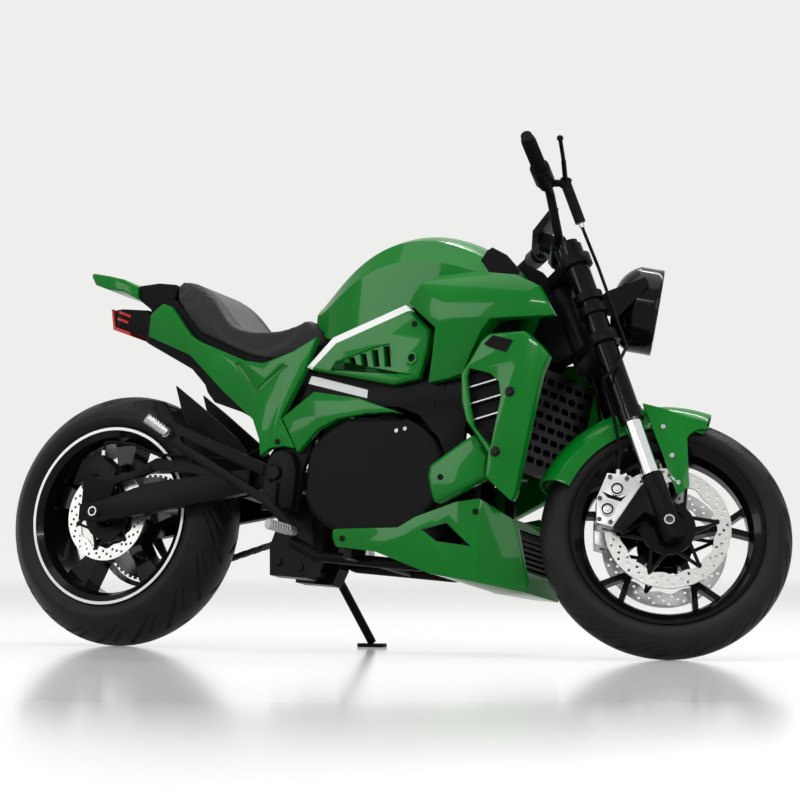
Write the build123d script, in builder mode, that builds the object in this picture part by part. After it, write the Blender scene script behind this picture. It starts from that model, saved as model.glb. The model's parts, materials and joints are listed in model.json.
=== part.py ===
import os
from math import atan, cos, radians, sin, sqrt

from build123d import *

os.makedirs("parts", exist_ok=True)

# An electric roadster that leans on its side stand, in millimetres.
# Every piece is drawn on the upright machine, with its wheels straight ahead:
# X runs forward from the rear axle, Y to the left, and Z up from the road.
# The last section leans it over and turns the fork to its left stop.

# Stance and steering
wheelbase = 1530.0
rake_angle = 25.0
fork_offset = 37.0
lean_angle = 9.4
steer_lock = 29.5
seat_gap = 0.3

# Tyres and rims
bead_radius = 216.0
flange_height = 15.0
flange_radius = bead_radius + flange_height
flange_thickness = 7.0
front_tyre_height = 84.0
front_tyre_radius = bead_radius + front_tyre_height
front_tyre_width = 120.0
front_crown = 62.0
rear_tyre_height = 108.0
rear_tyre_radius = bead_radius + rear_tyre_height
rear_tyre_width = 200.0
rear_crown = 110.0
tyre_wall = 12.0
front_rim_half = 52.0
rear_rim_half = 89.0
rim_depth = 21.0
axle_radius = 12.5
axle_bore = 9.0
axle_bore_depth = 30.0
axle_clearance = 0.06
front_hub_half = 44.0
rear_hub_half = 70.0

# Brakes
front_disc_radius = 150.0
front_disc_inner = 112.0
front_disc_y = 71.0
rear_disc_radius = 117.0
rear_disc_inner = 82.0
rear_disc_y = 92.0
disc_thickness = 5.0
pad_clearance = 5.0
disc_gap = 5.5
disc_holes = 18
disc_hole_radius = 4.5
hose_radius = 4.0

# Chain drive on the left
chain_y = 114.0
chain_width = 16.0
chain_height = 15.0
chain_clearance = 3.0
rear_sprocket_radius = 140.0
front_sprocket_radius = 42.0
drive_x = 655.0
drive_z = 424.0

# Lateral layers, as distances from the centre plane
core_half = 123.7
frame_inner = 124.0
frame_outer = 138.0
plate_outer = 158.0
arm_inner = 126.0
arm_outer = 150.0
motor_core_half = 98.0
motor_cover_half = 152.0
belly_half = 172.0
belly_wall = 8.0
shoulder_outer = 195.0
radiator_panel_inner = 172.0
radiator_panel_outer = 210.0

# Motor
motor_x = 803.0
motor_z = 418.0
motor_core_radius = 137.0
motor_cover_long = 188.0
motor_cover_tall = 145.0
motor_oval_long = 200.0
motor_oval_tall = 158.0

# Swingarm pivot
pivot_x = 531.0
pivot_z = 424.0
pivot_radius = 28.0

# Fork
foot_radius = 26.0
leg_half = front_disc_y + disc_thickness / 2 + disc_gap + foot_radius
leg_radius = 28.0
stanchion_radius = 21.0
lower_yoke = 490.0
upper_yoke = 701.0
yoke_thickness = 26.0
yoke_wall = 11.0
leg_top = upper_yoke + 44
leg_bottom = 278.0
foot_top = 127.0
foot_bottom = -42.0
collar_radius = 31.0
stem_radius = 21.0
stem_clearance = 1.0
head_radius = 34.0
bar_rise = 84.0
bar_radius = 11.0
lamp_radius = 105.0
lamp_wall = 8.0

# Side stand
stand_pivot = Vector(548, 126, 236)
stand_axis = Vector(0, 0.857, 0.515)
stand_foot_x = 602.0
stand_foot_y = 276.0
stand_leg_radius = 11.0
stand_pin_radius = 8.0
stand_hub_half = 11.5
stand_hub_radius = 17.0

rear_axle = Vector(0, 0, rear_tyre_radius)
front_axle_centre = Vector(wheelbase, 0, front_tyre_radius)
steer_up = Vector(-sin(radians(rake_angle)), 0, cos(radians(rake_angle)))
steer_ahead = Vector(cos(radians(rake_angle)), 0, sin(radians(rake_angle)))
steer_foot = front_axle_centre - steer_ahead * fork_offset


def fork_point(height, ahead, side):
    return steer_foot + steer_up * height + steer_ahead * ahead + Vector(0, side, 0)


def fork_plane(height, side=0.0):
    return Plane(origin=fork_point(height, 0, side), x_dir=steer_ahead, z_dir=steer_up)


def wheel_plane(centre):
    return Plane(origin=centre, x_dir=(0, 1, 0), z_dir=(1, 0, 0))


def outline(plane, points):
    with BuildSketch(plane) as profile:
        with BuildLine():
            Polyline(*points, close=True)
        make_face()
    return profile.sketch


# A slab on the right-hand side, between two distances from the centre plane
def side_slab(points, inner, outer, mode=Mode.ADD):
    extrude(outline(Plane.XZ.offset(inner), points), amount=outer - inner, mode=mode)


# A band seen from above, kept to the right-hand side, as (x, distance) corners
def plan_band(points, mode=Mode.INTERSECT):
    extrude(outline(Plane.XY, [(x, -side) for x, side in points]), amount=1200, mode=mode)


# A plan that is alike on both sides, from its left-hand (x, distance) corners
def plan_cut(half, mode=Mode.INTERSECT):
    extrude(outline(Plane.XY, half + [(x, -side) for x, side in reversed(half)]), amount=1200, mode=mode)


# A section across the machine, kept to the right-hand side, as (distance, z) corners
def cross_band(points, mode=Mode.INTERSECT):
    extrude(outline(Plane.YZ.offset(-400), [(-side, z) for side, z in points]), amount=2400, mode=mode)


def rod(start, end, radius, mode=Mode.ADD, bore=0.0):
    run = Vector(end) - Vector(start)
    with BuildSketch(Plane(origin=start, z_dir=run)) as section:
        Circle(radius)
        if bore:
            Circle(bore, mode=Mode.SUBTRACT)
    extrude(section.sketch, amount=run.length, mode=mode)


def bent_tube(points, radius, bend):
    with BuildLine() as route:
        FilletPolyline(*points, radius=bend)
    run = Vector(points[1]) - Vector(points[0])
    with BuildSketch(Plane(origin=points[0], z_dir=run)) as section:
        Circle(radius)
    sweep(section.sketch, path=route.line)


# A section across the tank: a flat floor, upright walls, a sloped facet and one arc over the top
def tank_section(x, half, low, wall_top, high):
    crease = 0.8 * half
    crease_z = high - 0.34 * (high - wall_top)
    with BuildSketch(Plane.YZ.offset(x)) as section:
        with BuildLine():
            Polyline((crease, crease_z), (half, wall_top), (half, low), (-half, low), (-half, wall_top),
                     (-crease, crease_z))
            ThreePointArc((-crease, crease_z), (0, high), (crease, crease_z))
        make_face()
    return section.sketch


# Tyres: a tread arc, rounded walls and beads that sit inside the rim's flanges
def tyre_profile(plane, radius, width, crown, rim_half):
    bead_half = rim_half - flange_thickness - seat_gap
    tread_half = 0.45 * width
    tread_edge = radius - crown + sqrt(crown**2 - tread_half**2)
    wall_radius = (tread_edge + flange_radius) / 2
    inside_crown = crown - tyre_wall
    inside_half = tread_half - tyre_wall
    inside_edge = radius - crown + sqrt(inside_crown**2 - inside_half**2)
    seat = bead_radius + seat_gap
    with BuildSketch(plane) as section:
        with BuildLine():
            tread = ThreePointArc((-tread_half, tread_edge), (0, radius), (tread_half, tread_edge))
            left = ThreePointArc(tread @ 1, (width / 2, wall_radius), (bead_half + 3, flange_radius + 2))
            right = ThreePointArc(tread @ 0, (-width / 2, wall_radius), (-bead_half - 3, flange_radius + 2))
            Polyline(left @ 1, (bead_half, flange_radius), (bead_half, seat), (bead_half - tyre_wall, seat),
                     (bead_half - tyre_wall, wall_radius), (inside_half, inside_edge))
            ThreePointArc((inside_half, inside_edge), (0, radius - tyre_wall), (-inside_half, inside_edge))
            Polyline((-inside_half, inside_edge), (tyre_wall - bead_half, wall_radius),
                     (tyre_wall - bead_half, seat), (-bead_half, seat), (-bead_half, flange_radius),
                     right @ 1)
        make_face()
    return section.sketch


# Rims: flanges, bead seats and a dropped centre
def rim_profile(plane, rim_half):
    bead_half = rim_half - flange_thickness
    well = bead_half - 24
    inside = bead_radius - rim_depth
    half = [(bead_half - 28, inside), (rim_half - 10, bead_radius - 10), (rim_half, flange_radius - 9),
            (rim_half, flange_radius), (bead_half, flange_radius), (bead_half, bead_radius),
            (well, bead_radius - 12)]
    return outline(plane, half + [(-y, r) for y, r in reversed(half)])


def spin(section, centre):
    revolve(section, axis=Axis(centre, (0, 1, 0)))


# A flat outline in a wheel's own plane, as (ahead, above) of its axle
def wheel_slab(centre, points, low_y, high_y, mode=Mode.ADD):
    plane = Plane(origin=centre + Vector(0, high_y, 0), x_dir=(1, 0, 0), z_dir=(0, -1, 0))
    extrude(outline(plane, points), amount=high_y - low_y, mode=mode)


def turned(points, angle):
    c, s = cos(radians(angle)), sin(radians(angle))
    return [(x * c - z * s, x * s + z * c) for x, z in points]


def hub(centre, radius, half):
    low = centre - Vector(0, half, 0)
    rod(low, centre + Vector(0, half, 0), radius)


def hub_bore(centre, half):
    low = centre - Vector(0, half + 1, 0)
    rod(low, centre + Vector(0, half + 1, 0), axle_radius + axle_clearance, mode=Mode.SUBTRACT)


def disc_plate(centre, side, radius, inner):
    with BuildSketch(Plane.XZ.offset(-side - disc_thickness / 2)) as ring:
        with Locations((centre.X, centre.Z)):
            Circle(radius)
            Circle(inner, mode=Mode.SUBTRACT)
            with PolarLocations((radius + inner) / 2, disc_holes):
                Circle(disc_hole_radius, mode=Mode.SUBTRACT)
    extrude(ring.sketch, amount=disc_thickness)


# Front wheel
with BuildPart() as front_tyre:
    spin(tyre_profile(wheel_plane(front_axle_centre), front_tyre_radius, front_tyre_width, front_crown,
                      front_rim_half), front_axle_centre)
front_tyre.part.label = "front_tyre"

front_spokes = 5
front_spoke_half = 8.0
front_fork_radius = 140.0
with BuildPart() as front_rim:
    spin(rim_profile(wheel_plane(front_axle_centre), front_rim_half), front_axle_centre)
    hub(front_axle_centre, 40, front_hub_half)
    root = [(30, -13), (front_fork_radius, -front_spoke_half), (front_fork_radius, front_spoke_half),
            (30, 13)]
    branch = [(front_fork_radius - 12, -8), (bead_radius - 16, 26), (bead_radius - 16, 42),
              (front_fork_radius - 12, 8)]
    for n in range(front_spokes):
        angle = 90 + n * 360 / front_spokes
        wheel_slab(front_axle_centre, turned(root, angle), -16, 16)
        wheel_slab(front_axle_centre, turned(branch, angle), -14, 14)
        wheel_slab(front_axle_centre, turned([(r, -w) for r, w in reversed(branch)], angle), -14, 14)
    for side in (-1, 1):
        rod(front_axle_centre + Vector(0, side * front_hub_half, 0),
            front_axle_centre + Vector(0, side * (front_disc_y - disc_thickness / 2), 0), 58)
    hub_bore(front_axle_centre, front_disc_y)
front_rim.part.label = "front_rim"

with BuildPart() as front_discs:
    for side in (-1, 1):
        disc_plate(front_axle_centre, side * front_disc_y, front_disc_radius, front_disc_inner)
        for n in range(5):
            arm = [(60 + seat_gap, -9), (front_disc_inner + 3, -6), (front_disc_inner + 3, 6),
                   (60 + seat_gap, 9)]
            wheel_slab(front_axle_centre, turned(arm, 54 + 72 * n), side * front_disc_y - 2,
                       side * front_disc_y + 2)
    for side in (-1, 1):
        centre = front_axle_centre + Vector(0, side * (front_disc_y - 2), 0)
        rod(centre, centre + Vector(0, 4 * side, 0), 66, bore=46)
front_discs.part.label = "front_discs"

# Rear wheel
with BuildPart() as rear_tyre:
    spin(tyre_profile(wheel_plane(rear_axle), rear_tyre_radius, rear_tyre_width, rear_crown, rear_rim_half),
         rear_axle)
rear_tyre.part.label = "rear_tyre"

rear_spokes = 5
with BuildPart() as rear_rim:
    spin(rim_profile(wheel_plane(rear_axle), rear_rim_half), rear_axle)
    hub(rear_axle, 62, rear_hub_half)
    blade = [(50, -22), (120, -17), (bead_radius - 16, -34), (bead_radius - 16, 34), (120, 17), (50, 22)]
    for n in range(rear_spokes):
        wheel_slab(rear_axle, turned(blade, 90 + n * 360 / rear_spokes), -34, 34)
    hub_bore(rear_axle, rear_hub_half)
rear_rim.part.label = "rear_rim"

with BuildPart() as rear_disc:
    disc_plate(rear_axle, -rear_disc_y, rear_disc_radius, rear_disc_inner)
    back = rear_axle - Vector(0, rear_hub_half + seat_gap, 0)
    rod(back, rear_axle - Vector(0, rear_disc_y + 2, 0), 66, bore=30)
    for n in range(5):
        arm = [(58, -10), (rear_disc_inner + 3, -7), (rear_disc_inner + 3, 7), (58, 10)]
        wheel_slab(rear_axle, turned(arm, 18 + 72 * n), -rear_disc_y - 2, 2 - rear_disc_y)
rear_disc.part.label = "rear_disc"

sprocket_teeth = 52
with BuildPart() as rear_sprocket:
    with BuildSketch(Plane.XZ.offset(-chain_y - 3)) as blank:
        with Locations((rear_axle.X, rear_axle.Z)):
            Circle(rear_sprocket_radius - 6)
            with PolarLocations(rear_sprocket_radius - 4, sprocket_teeth):
                Rectangle(8, 7)
            Circle(92, mode=Mode.SUBTRACT)
    extrude(blank.sketch, amount=6)
    for n in range(5):
        arm = [(34, -14), (96, -9), (96, 9), (34, 14)]
        wheel_slab(rear_axle, turned(arm, 90 + 72 * n), chain_y - 3, chain_y + 3)
    rod(rear_axle + Vector(0, rear_hub_half + seat_gap, 0), rear_axle + Vector(0, chain_y + 3, 0), 46,
        bore=30)
rear_sprocket.part.label = "rear_sprocket"

# Axles, with a blind hole in each end
def axle_shaft(centre, half):
    hub(centre, axle_radius, half)
    for side in (-1, 1):
        end = centre + Vector(0, side * half, 0)
        rod(end, end - Vector(0, side * axle_bore_depth, 0), axle_bore, mode=Mode.SUBTRACT)


rear_axle_half = arm_outer + 12
with BuildPart() as rear_axle_shaft:
    axle_shaft(rear_axle, rear_axle_half)
rear_axle_shaft.part.label = "rear_axle"

front_axle_half = leg_half + foot_radius + 4
with BuildPart() as front_axle_shaft:
    axle_shaft(front_axle_centre, front_axle_half)
front_axle_shaft.part.label = "front_axle"

# Main frame: two side plates, the neck and the steering head
frame_side = [(600, 672), (770, 640), (835, 645), (975, 672), (1030, 705), (1150, 780), (1168, 740),
              (1085, 655), (1046, 595), (1042, 492), (1002, 457), (974, 514), (914, 572), (856, 592),
              (778, 594), (698, 574), (632, 546), (598, 432), (592, 332), (508, 334), (498, 470),
              (556, 560)]
neck_top = upper_yoke - yoke_thickness / 2 - 8
neck_low = lower_yoke + yoke_thickness / 2 + 8
neck_ends = ((neck_top, -22), (neck_top, 0), (neck_low, 0), (neck_low, -56))
neck_corners = [fork_point(height, ahead, 0) for height, ahead in neck_ends]
neck_side = [(1085, 655), (1040, 668), (1068, 730), (1150, 782)] + [(p.X, p.Z) for p in neck_corners]
with BuildPart() as frame:
    side_slab(frame_side, frame_inner, frame_outer)
    mirror(about=Plane.XZ)
    side_slab([(1085, 655), (1045, 672), (1068, 728), (1150, 780), (1166, 742)], -frame_inner - 1,
              frame_inner + 1)
    side_slab(neck_side, -28, 28)
    rod(fork_point(lower_yoke + yoke_thickness / 2 + 6, 0, 0),
        fork_point(upper_yoke - yoke_thickness / 2 - 6, 0, 0), head_radius)
    rod(fork_point(lower_yoke, 0, 0), fork_point(upper_yoke, 0, 0), stem_radius + stem_clearance,
        mode=Mode.SUBTRACT)
    with BuildSketch(Plane.XZ.offset(-frame_outer - 1)) as pivot_hole:
        with Locations((pivot_x, pivot_z)):
            Circle(10.5)
    extrude(pivot_hole.sketch, amount=2 * frame_outer + 2, mode=Mode.SUBTRACT)
frame.part.label = "frame"

# Lower cradle: rails under the motor, cross tubes and the block that carries the stand
rail_y = 95.0
rail_radius = 14.0
block_inner = 40.0
block_outer = 88.0
with BuildPart() as lower_cradle:
    rail = [(560, -rail_y, 262), (640, -rail_y, 226), (930, -rail_y, 206), (1062, -rail_y, 262),
            (1062, -rail_y, 440)]
    bent_tube(rail, rail_radius, 40)
    rod((1000, -rail_y, 232), (1000, seat_gap + belly_wall - belly_half, 232), 9)
    side_slab([(750, 212), (750, 270), (772, 270), (772, 212)], rail_y, belly_half - belly_wall - seat_gap)
    side_slab([(492, 250), (500, 178), (606, 172), (624, 214), (612, 290), (588, 378), (556, 378), (512, 340),
               (508, 300)], block_inner, block_outer)
    mirror(about=Plane.XZ)
    for x, z, half in ((568, 368, core_half), (1062, 436, core_half), (800, 215, rail_y), (520, 212, 92),
                       (584, 200, 92)):
        rod((x, -half, z), (x, half, z), 11)
    boss_end = stand_pivot - stand_axis * (stand_hub_half + seat_gap)
    boss_root = boss_end - stand_axis * 12
    rod((stand_pivot.X, 70, 222), boss_root, 19)
    rod(boss_root, boss_end, 18)
    rod(boss_end, stand_pivot + stand_axis * 16, stand_pin_radius)
lower_cradle.part.label = "lower_cradle"

# Swingarm: a pivot tube, two tapered arms that step out past the wheel, and an upper brace
arm_rear = [(-48, 304), (-48, 344), (12, 352), (150, 398), (360, 424), (452, 436), (452, 378), (350, 356),
            (150, 322), (10, 298)]
arm_front = [(404, 376), (404, 432), (pivot_x, 450), (pivot_x + 18, 440), (pivot_x + 18, 408), (pivot_x, 398)]
brace = [(118, 426), (134, 446), (170, 464), (288, 448), (352, 424), (330, 410), (284, 424), (168, 434),
         (130, 418)]
with BuildPart() as swingarm:
    side_slab(arm_rear, arm_inner, arm_outer)
    side_slab(brace, arm_inner + 4, arm_outer - 4)
    side_slab(arm_front, 88, core_half)
    side_slab([(404, 376), (404, 432), (452, 436), (452, 378)], core_half - 1, arm_inner + 1)
    mirror(about=Plane.XZ)
    rod((pivot_x, -core_half, pivot_z), (pivot_x, core_half, pivot_z), pivot_radius)
    side_slab([(400, 372), (400, 428), (450, 438), (450, 378)], -90, 90)
    rod((pivot_x, -core_half - 1, pivot_z), (pivot_x, core_half + 1, pivot_z), 10.5, mode=Mode.SUBTRACT)
    rod(rear_axle - Vector(0, arm_outer + 1, 0), rear_axle + Vector(0, arm_outer + 1, 0),
        axle_radius + seat_gap / 2, mode=Mode.SUBTRACT)
swingarm.part.label = "swingarm"

with BuildPart() as pivot_bolt:
    rod((pivot_x, -plate_outer - 8, pivot_z), (pivot_x, plate_outer + 8, pivot_z), 10)
    for side in (-1, 1):
        rod((pivot_x, side * (plate_outer + seat_gap), pivot_z),
            (pivot_x, side * (plate_outer + 10), pivot_z), 17)
pivot_bolt.part.label = "pivot_bolt"

# Outer pivot plates
with BuildPart() as pivot_plates:
    with BuildSketch(Plane.XZ.offset(frame_outer + seat_gap)) as plate:
        with BuildLine():
            Polyline((512, 340), (504, 452))
            ThreePointArc((504, 452), (544, 482), (582, 455))
            Polyline((582, 455), (590, 430), (586, 334), (512, 340))
        make_face()
        with Locations((pivot_x, pivot_z)):
            Circle(10.5, mode=Mode.SUBTRACT)
    extrude(plate.sketch, amount=plate_outer - frame_outer - seat_gap)
    mirror(about=Plane.XZ)
pivot_plates.part.label = "pivot_plates"

# Motor: a plain core, an oval cover on each side and the ears that bolt to the frame
with BuildPart() as motor_unit:
    rod((motor_x, -motor_core_half, motor_z), (motor_x, motor_core_half, motor_z), motor_core_radius)
    side_slab([(622, 384), (622, 464), (740, 480), (740, 360)], -motor_core_half, motor_core_half)
    for side in (1, -1):
        start = motor_core_half if side > 0 else motor_core_half + 28
        with BuildSketch(Plane.XZ.offset(side * motor_cover_half)) as cover:
            with Locations((motor_x, motor_z)):
                Ellipse(motor_oval_long, motor_oval_tall)
                Rectangle(2 * motor_cover_long, 2 * motor_cover_tall, mode=Mode.INTERSECT)
        extrude(cover.sketch, amount=-side * (motor_cover_half - start))
    rod((motor_x + 30, 0, motor_z), (motor_x + 30, motor_core_half + 30, motor_z), 100)
    side_slab([(790, 540), (790, 618), (840, 618), (840, 540)], -core_half, core_half)
    fillet(motor_unit.faces().sort_by(Axis.Y)[0].edges(), 14)
    fillet(motor_unit.faces().sort_by(Axis.Y)[-1].edges(), 14)
motor_unit.part.label = "motor_unit"

# Front sprocket on the motor's output shaft
with BuildPart() as drive_sprocket:
    with BuildSketch(Plane.XZ.offset(-chain_y - 3)) as blank:
        with Locations((drive_x, drive_z)):
            Circle(front_sprocket_radius)
    extrude(blank.sketch, amount=6)
    rod((drive_x, motor_core_half + seat_gap, drive_z), (drive_x, chain_y + 8, drive_z), 14)
drive_sprocket.part.label = "drive_sprocket"

# Chain: one closed loop round both sprockets
chain_rear = rear_sprocket_radius + chain_clearance
chain_front = front_sprocket_radius + seat_gap
chain_run = sqrt(drive_x**2 + (drive_z - rear_axle.Z) ** 2)
with BuildPart() as chain:
    with BuildSketch(Plane.XZ.offset(-chain_y - chain_width / 2)) as loop:
        for grow, mode in ((chain_height, Mode.ADD), (0, Mode.SUBTRACT)):
            with BuildLine():
                slope = atan((drive_z - rear_axle.Z) / drive_x)
                rise = (chain_rear - chain_front) / chain_run
                tilt = atan(rise / sqrt(1 - rise**2))
                top = radians(90) + slope - tilt
                low = radians(270) + slope + tilt
                reach_rear = chain_rear + grow
                reach_front = chain_front + grow
                a = (reach_rear * cos(top), rear_axle.Z + reach_rear * sin(top))
                b = (drive_x + reach_front * cos(top), drive_z + reach_front * sin(top))
                c = (drive_x + reach_front * cos(low), drive_z + reach_front * sin(low))
                d = (reach_rear * cos(low), rear_axle.Z + reach_rear * sin(low))
                Line(a, b)
                ThreePointArc(b, (drive_x + reach_front * cos(slope), drive_z + reach_front * sin(slope)), c)
                Line(c, d)
                ThreePointArc(d, (-reach_rear * cos(slope), rear_axle.Z - reach_rear * sin(slope)), a)
            make_face(mode=mode)
    extrude(loop.sketch, amount=chain_width)
chain.part.label = "chain"

# Battery: one block under the tank, with a lower nose in front of the motor
with BuildPart() as battery_case:
    side_slab([(740, 626), (740, 800), (800, 849), (1040, 849), (1040, 700), (1030, 640), (1010, 626)],
              -core_half, core_half)
    side_slab([(1044, 460), (1044, 600), (1060, 640), (1130, 640), (1130, 470), (1118, 458)], -110, 110)
    side_slab([(1000, 626), (1000, 640), (1120, 640), (1120, 626)], -110, 110)
battery_case.part.label = "battery_case"

# Radiator, tilted forward, with staggered slots in its face
radiator_tilt = 8.0
radiator_x = 1168.0
radiator_z = 442.0
radiator_height = 250.0
radiator_depth = 30.0
slot_rows = 8
slot_columns = 6
radiator_half = radiator_panel_inner - seat_gap
with BuildPart() as radiator:
    lean_x = radiator_height * sin(radians(radiator_tilt))
    lean_z = radiator_height * cos(radians(radiator_tilt))
    front_x = radiator_x + radiator_depth
    top_z = radiator_z + lean_z
    core = [(radiator_x, radiator_z), (radiator_x + lean_x, top_z), (front_x + lean_x, top_z),
            (front_x, radiator_z)]
    side_slab(core, -radiator_half, radiator_half)
    face_normal = (cos(radians(radiator_tilt)), 0, -sin(radians(radiator_tilt)))
    with BuildSketch(Plane(origin=(front_x, 0, radiator_z), x_dir=(0, 1, 0), z_dir=face_normal)) as slots:
        for row in range(slot_rows):
            shift = 12 if row % 2 else -12
            with Locations((shift, 28 + 28 * row)):
                with GridLocations(50, 1, slot_columns, 1):
                    SlotOverall(40, 15)
    extrude(slots.sketch, amount=-12, mode=Mode.SUBTRACT)
radiator.part.label = "radiator"

# Tank cover: rounded sections from the seat to the steering head
tank_sections = [
    # x, half width, bottom, top of the wall, top
    (556, 62, 823, 842, 864),
    (640, 114, 770, 872, 936),
    (760, 136, 806, 940, 1022),
    (880, 137, 842, 958, 1043),
    (1000, 130, 850, 938, 1011),
    (1076, 92, 872, 916, 963),
]
seat_nose = [(500, 700), (500, 854), (545, 824.6), (598.4, 790.5), (607, 768), (607, 700)]
with BuildPart() as tank_cover:
    loft([tank_section(*row) for row in tank_sections])
    side_slab(seat_nose, -200, 200, mode=Mode.SUBTRACT)
    side_slab([(500, 760), (500, 1100), (1100, 1100), (1100, 760)], frame_outer, 200, mode=Mode.SUBTRACT)
    side_slab([(500, 760), (500, 1100), (1100, 1100), (1100, 760)], -200, -frame_outer, mode=Mode.SUBTRACT)
    side_slab([(739, 700), (739, 850), (1100, 850), (1100, 700)], -frame_inner, frame_inner,
              mode=Mode.SUBTRACT)
tank_cover.part.label = "tank_cover"

# Tank shoulders: broad covers beside the tank that reach forward past the fork
shoulder_side = [(884, 842), (898, 868), (922, 894), (956, 910), (1057, 921), (1167, 908), (1231, 880),
                 (1280, 806), (1203, 800), (1118, 797), (1094, 770), (1040, 668), (1000, 657), (946, 648),
                 (960, 716), (968, 778), (912, 820)]
with BuildPart() as tank_shoulders:
    side_slab(shoulder_side, frame_outer + seat_gap, shoulder_outer)
    cross_band([(130, 640), (160, 640), (181, 720), (shoulder_outer, 800), (shoulder_outer, 838), (184, 886),
                (160, 925), (130, 932)])
    plan_band([(800, 130), (800, 170), (900, 182), (990, shoulder_outer), (1190, shoulder_outer), (1300, 176),
               (1300, 158), (1150, 158), (1110, 130)])
    mirror(about=Plane.XZ)
tank_shoulders.part.label = "tank_shoulders"

# Vent panels with five louvre slots and a round boss
vent_side = [(596, 690), (664, 764), (862, 842), (938, 778), (934, 726), (914, 660), (846, 644), (616, 682)]
vent_outer = 164.0
louvres = 5
with BuildPart() as vent_panels:
    side_slab(vent_side, frame_outer + seat_gap, vent_outer)
    chamfer(vent_panels.faces().sort_by(Axis.Y)[0].edges(), 6)
    side_slab([(668, 680), (852, 684), (828, 746), (790, 738), (700, 708)], vent_outer - 5, vent_outer + 10,
              mode=Mode.SUBTRACT)
    for n in range(louvres):
        x = 690 + 32 * n
        rise = 16 + 9 * n
        side_slab([(x, 688), (x + 18, 688), (x + 9, 688 + rise), (x - 9, 688 + rise)], frame_outer, 200,
                  mode=Mode.SUBTRACT)
    rod((896, -vent_outer - 4, 708), (896, -frame_outer - 10, 708), 16)
    rod((896, -vent_outer - 6, 708), (896, -frame_outer - 12, 708), 10, mode=Mode.SUBTRACT)
    mirror(about=Plane.XZ)
vent_panels.part.label = "vent_panels"

# Tail panels: a V from the tail lamp down to the pivot and up to the tank
tail_side = [(84, 788), (84, 846), (121, 872), (146, 864), (221, 785), (253, 768), (408, 711), (468, 702),
             (553, 731), (616, 766), (590, 684), (572, 645), (532, 563), (582, 486), (548, 492), (508, 486),
             (484, 466), (476, 509), (450, 560), (428, 576), (345, 636), (227, 733)]
tail_groove = [(379, 704), (456, 622), (539, 693), (524, 697), (456, 638), (396, 706)]
tail_bend = 480.0
tail_end = 80.0
tail_end_half = 107.0
tail_outer = 160.0
groove_depth = 4.0
with BuildPart() as tail_groove_tool:
    side_slab(tail_groove, 60, tail_outer + 20)
    plan_band([(tail_end, tail_end_half - groove_depth), (tail_bend, tail_outer - groove_depth),
               (640, tail_outer - groove_depth), (640, 300), (tail_end, 300)])
with BuildPart() as tail_panels:
    side_slab(tail_side, 60, tail_outer + 20)
    plan_band([(640, frame_outer + seat_gap), (tail_bend, frame_outer + seat_gap), (tail_end, 85),
               (tail_end, tail_end_half), (tail_bend, tail_outer), (640, tail_outer)])
    add(tail_groove_tool.part, mode=Mode.SUBTRACT)
    mirror(about=Plane.XZ)
tail_panels.part.label = "tail_panels"

# Arch panels over the motor covers
arch_side = [(590, 476), (641, 534), (696, 561), (779, 574), (849, 576), (880, 571), (748, 611), (622, 628),
             (537, 563)]
with BuildPart() as arch_panels:
    side_slab(arch_side, frame_outer + seat_gap, frame_outer + 20)
    mirror(about=Plane.XZ)
arch_panels.part.label = "arch_panels"

# Radiator side panels: a thin skin round an opening, a flange in front, and louvres behind the opening
ring_outer = [(1058, 660), (1079, 690), (1107, 740), (1128, 756), (1219, 761), (1256, 731), (1283, 702),
              (1267, 658), (1239, 490), (1222, 369), (1214, 352), (1146, 408), (1148, 466), (1101, 522),
              (1083, 542), (1066, 590)]
ring_hole = [(1080, 672), (1139, 658), (1163, 638), (1172, 600), (1164, 540), (1155, 476), (1106, 530),
             (1088, 590), (1076, 648)]
ring_pocket = [(1040, 500), (1040, 780), (1206, 780), (1206, 690), (1176, 500)]
skin_inner = radiator_panel_outer - 10
facet_tilt = 10.6
facet_half = 184.0
with BuildPart() as radiator_panels:
    side_slab(ring_outer, radiator_panel_inner, radiator_panel_outer)
    chamfer(radiator_panels.faces().sort_by(Axis.Y)[0].edges(), 4)
    side_slab(ring_pocket, radiator_panel_inner - 1, skin_inner, mode=Mode.SUBTRACT)
    side_slab(ring_hole, 100, 300, mode=Mode.SUBTRACT)
    tilt = radians(facet_tilt)
    crease = Plane(origin=(1175, 0, 450), x_dir=(cos(tilt), 0, -sin(tilt)), z_dir=(sin(tilt), 0, cos(tilt)))
    facet = [(0, -radiator_panel_outer), (120, -facet_half), (120, -300), (0, -300)]
    extrude(outline(crease, facet), amount=600, both=True, mode=Mode.SUBTRACT)
    mirror(about=Plane.XZ)
radiator_panels.part.label = "radiator_panels"

louvre_plate = [(1072, 600), (1074, 680), (1150, 680), (1186, 650), (1186, 600), (1172, 512), (1146, 516),
                (1112, 528), (1084, 566)]
louvre_grooves = 4
with BuildPart() as side_louvres:
    side_slab(louvre_plate, skin_inner - seat_gap - 14, skin_inner - seat_gap)
    for n in range(louvre_grooves):
        base = 500 + 42 * n
        side_slab([(1060, base), (1060, base + 32), (1195, base + 68), (1195, base + 36)], skin_inner - 10,
                  skin_inner + 10, mode=Mode.SUBTRACT)
    mirror(about=Plane.XZ)
side_louvres.part.label = "side_louvres"

# Mid arms between the motor covers and the radiator panels
mid_side = [(1072, 502), (1094, 514), (1139, 462), (1138, 412), (1013, 349), (1000, 349), (990, 373),
            (978, 410), (981, 439)]
with BuildPart() as mid_arms:
    side_slab(mid_side, motor_cover_half + seat_gap, 192)
    chamfer(mid_arms.faces().sort_by(Axis.Y)[0].edges(), 8)
    side_slab([(1060, 420), (1060, 480), (1162, 480), (1162, 420)], motor_cover_half + seat_gap,
              radiator_panel_inner - seat_gap)
    mirror(about=Plane.XZ)
mid_arms.part.label = "mid_arms"

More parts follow.
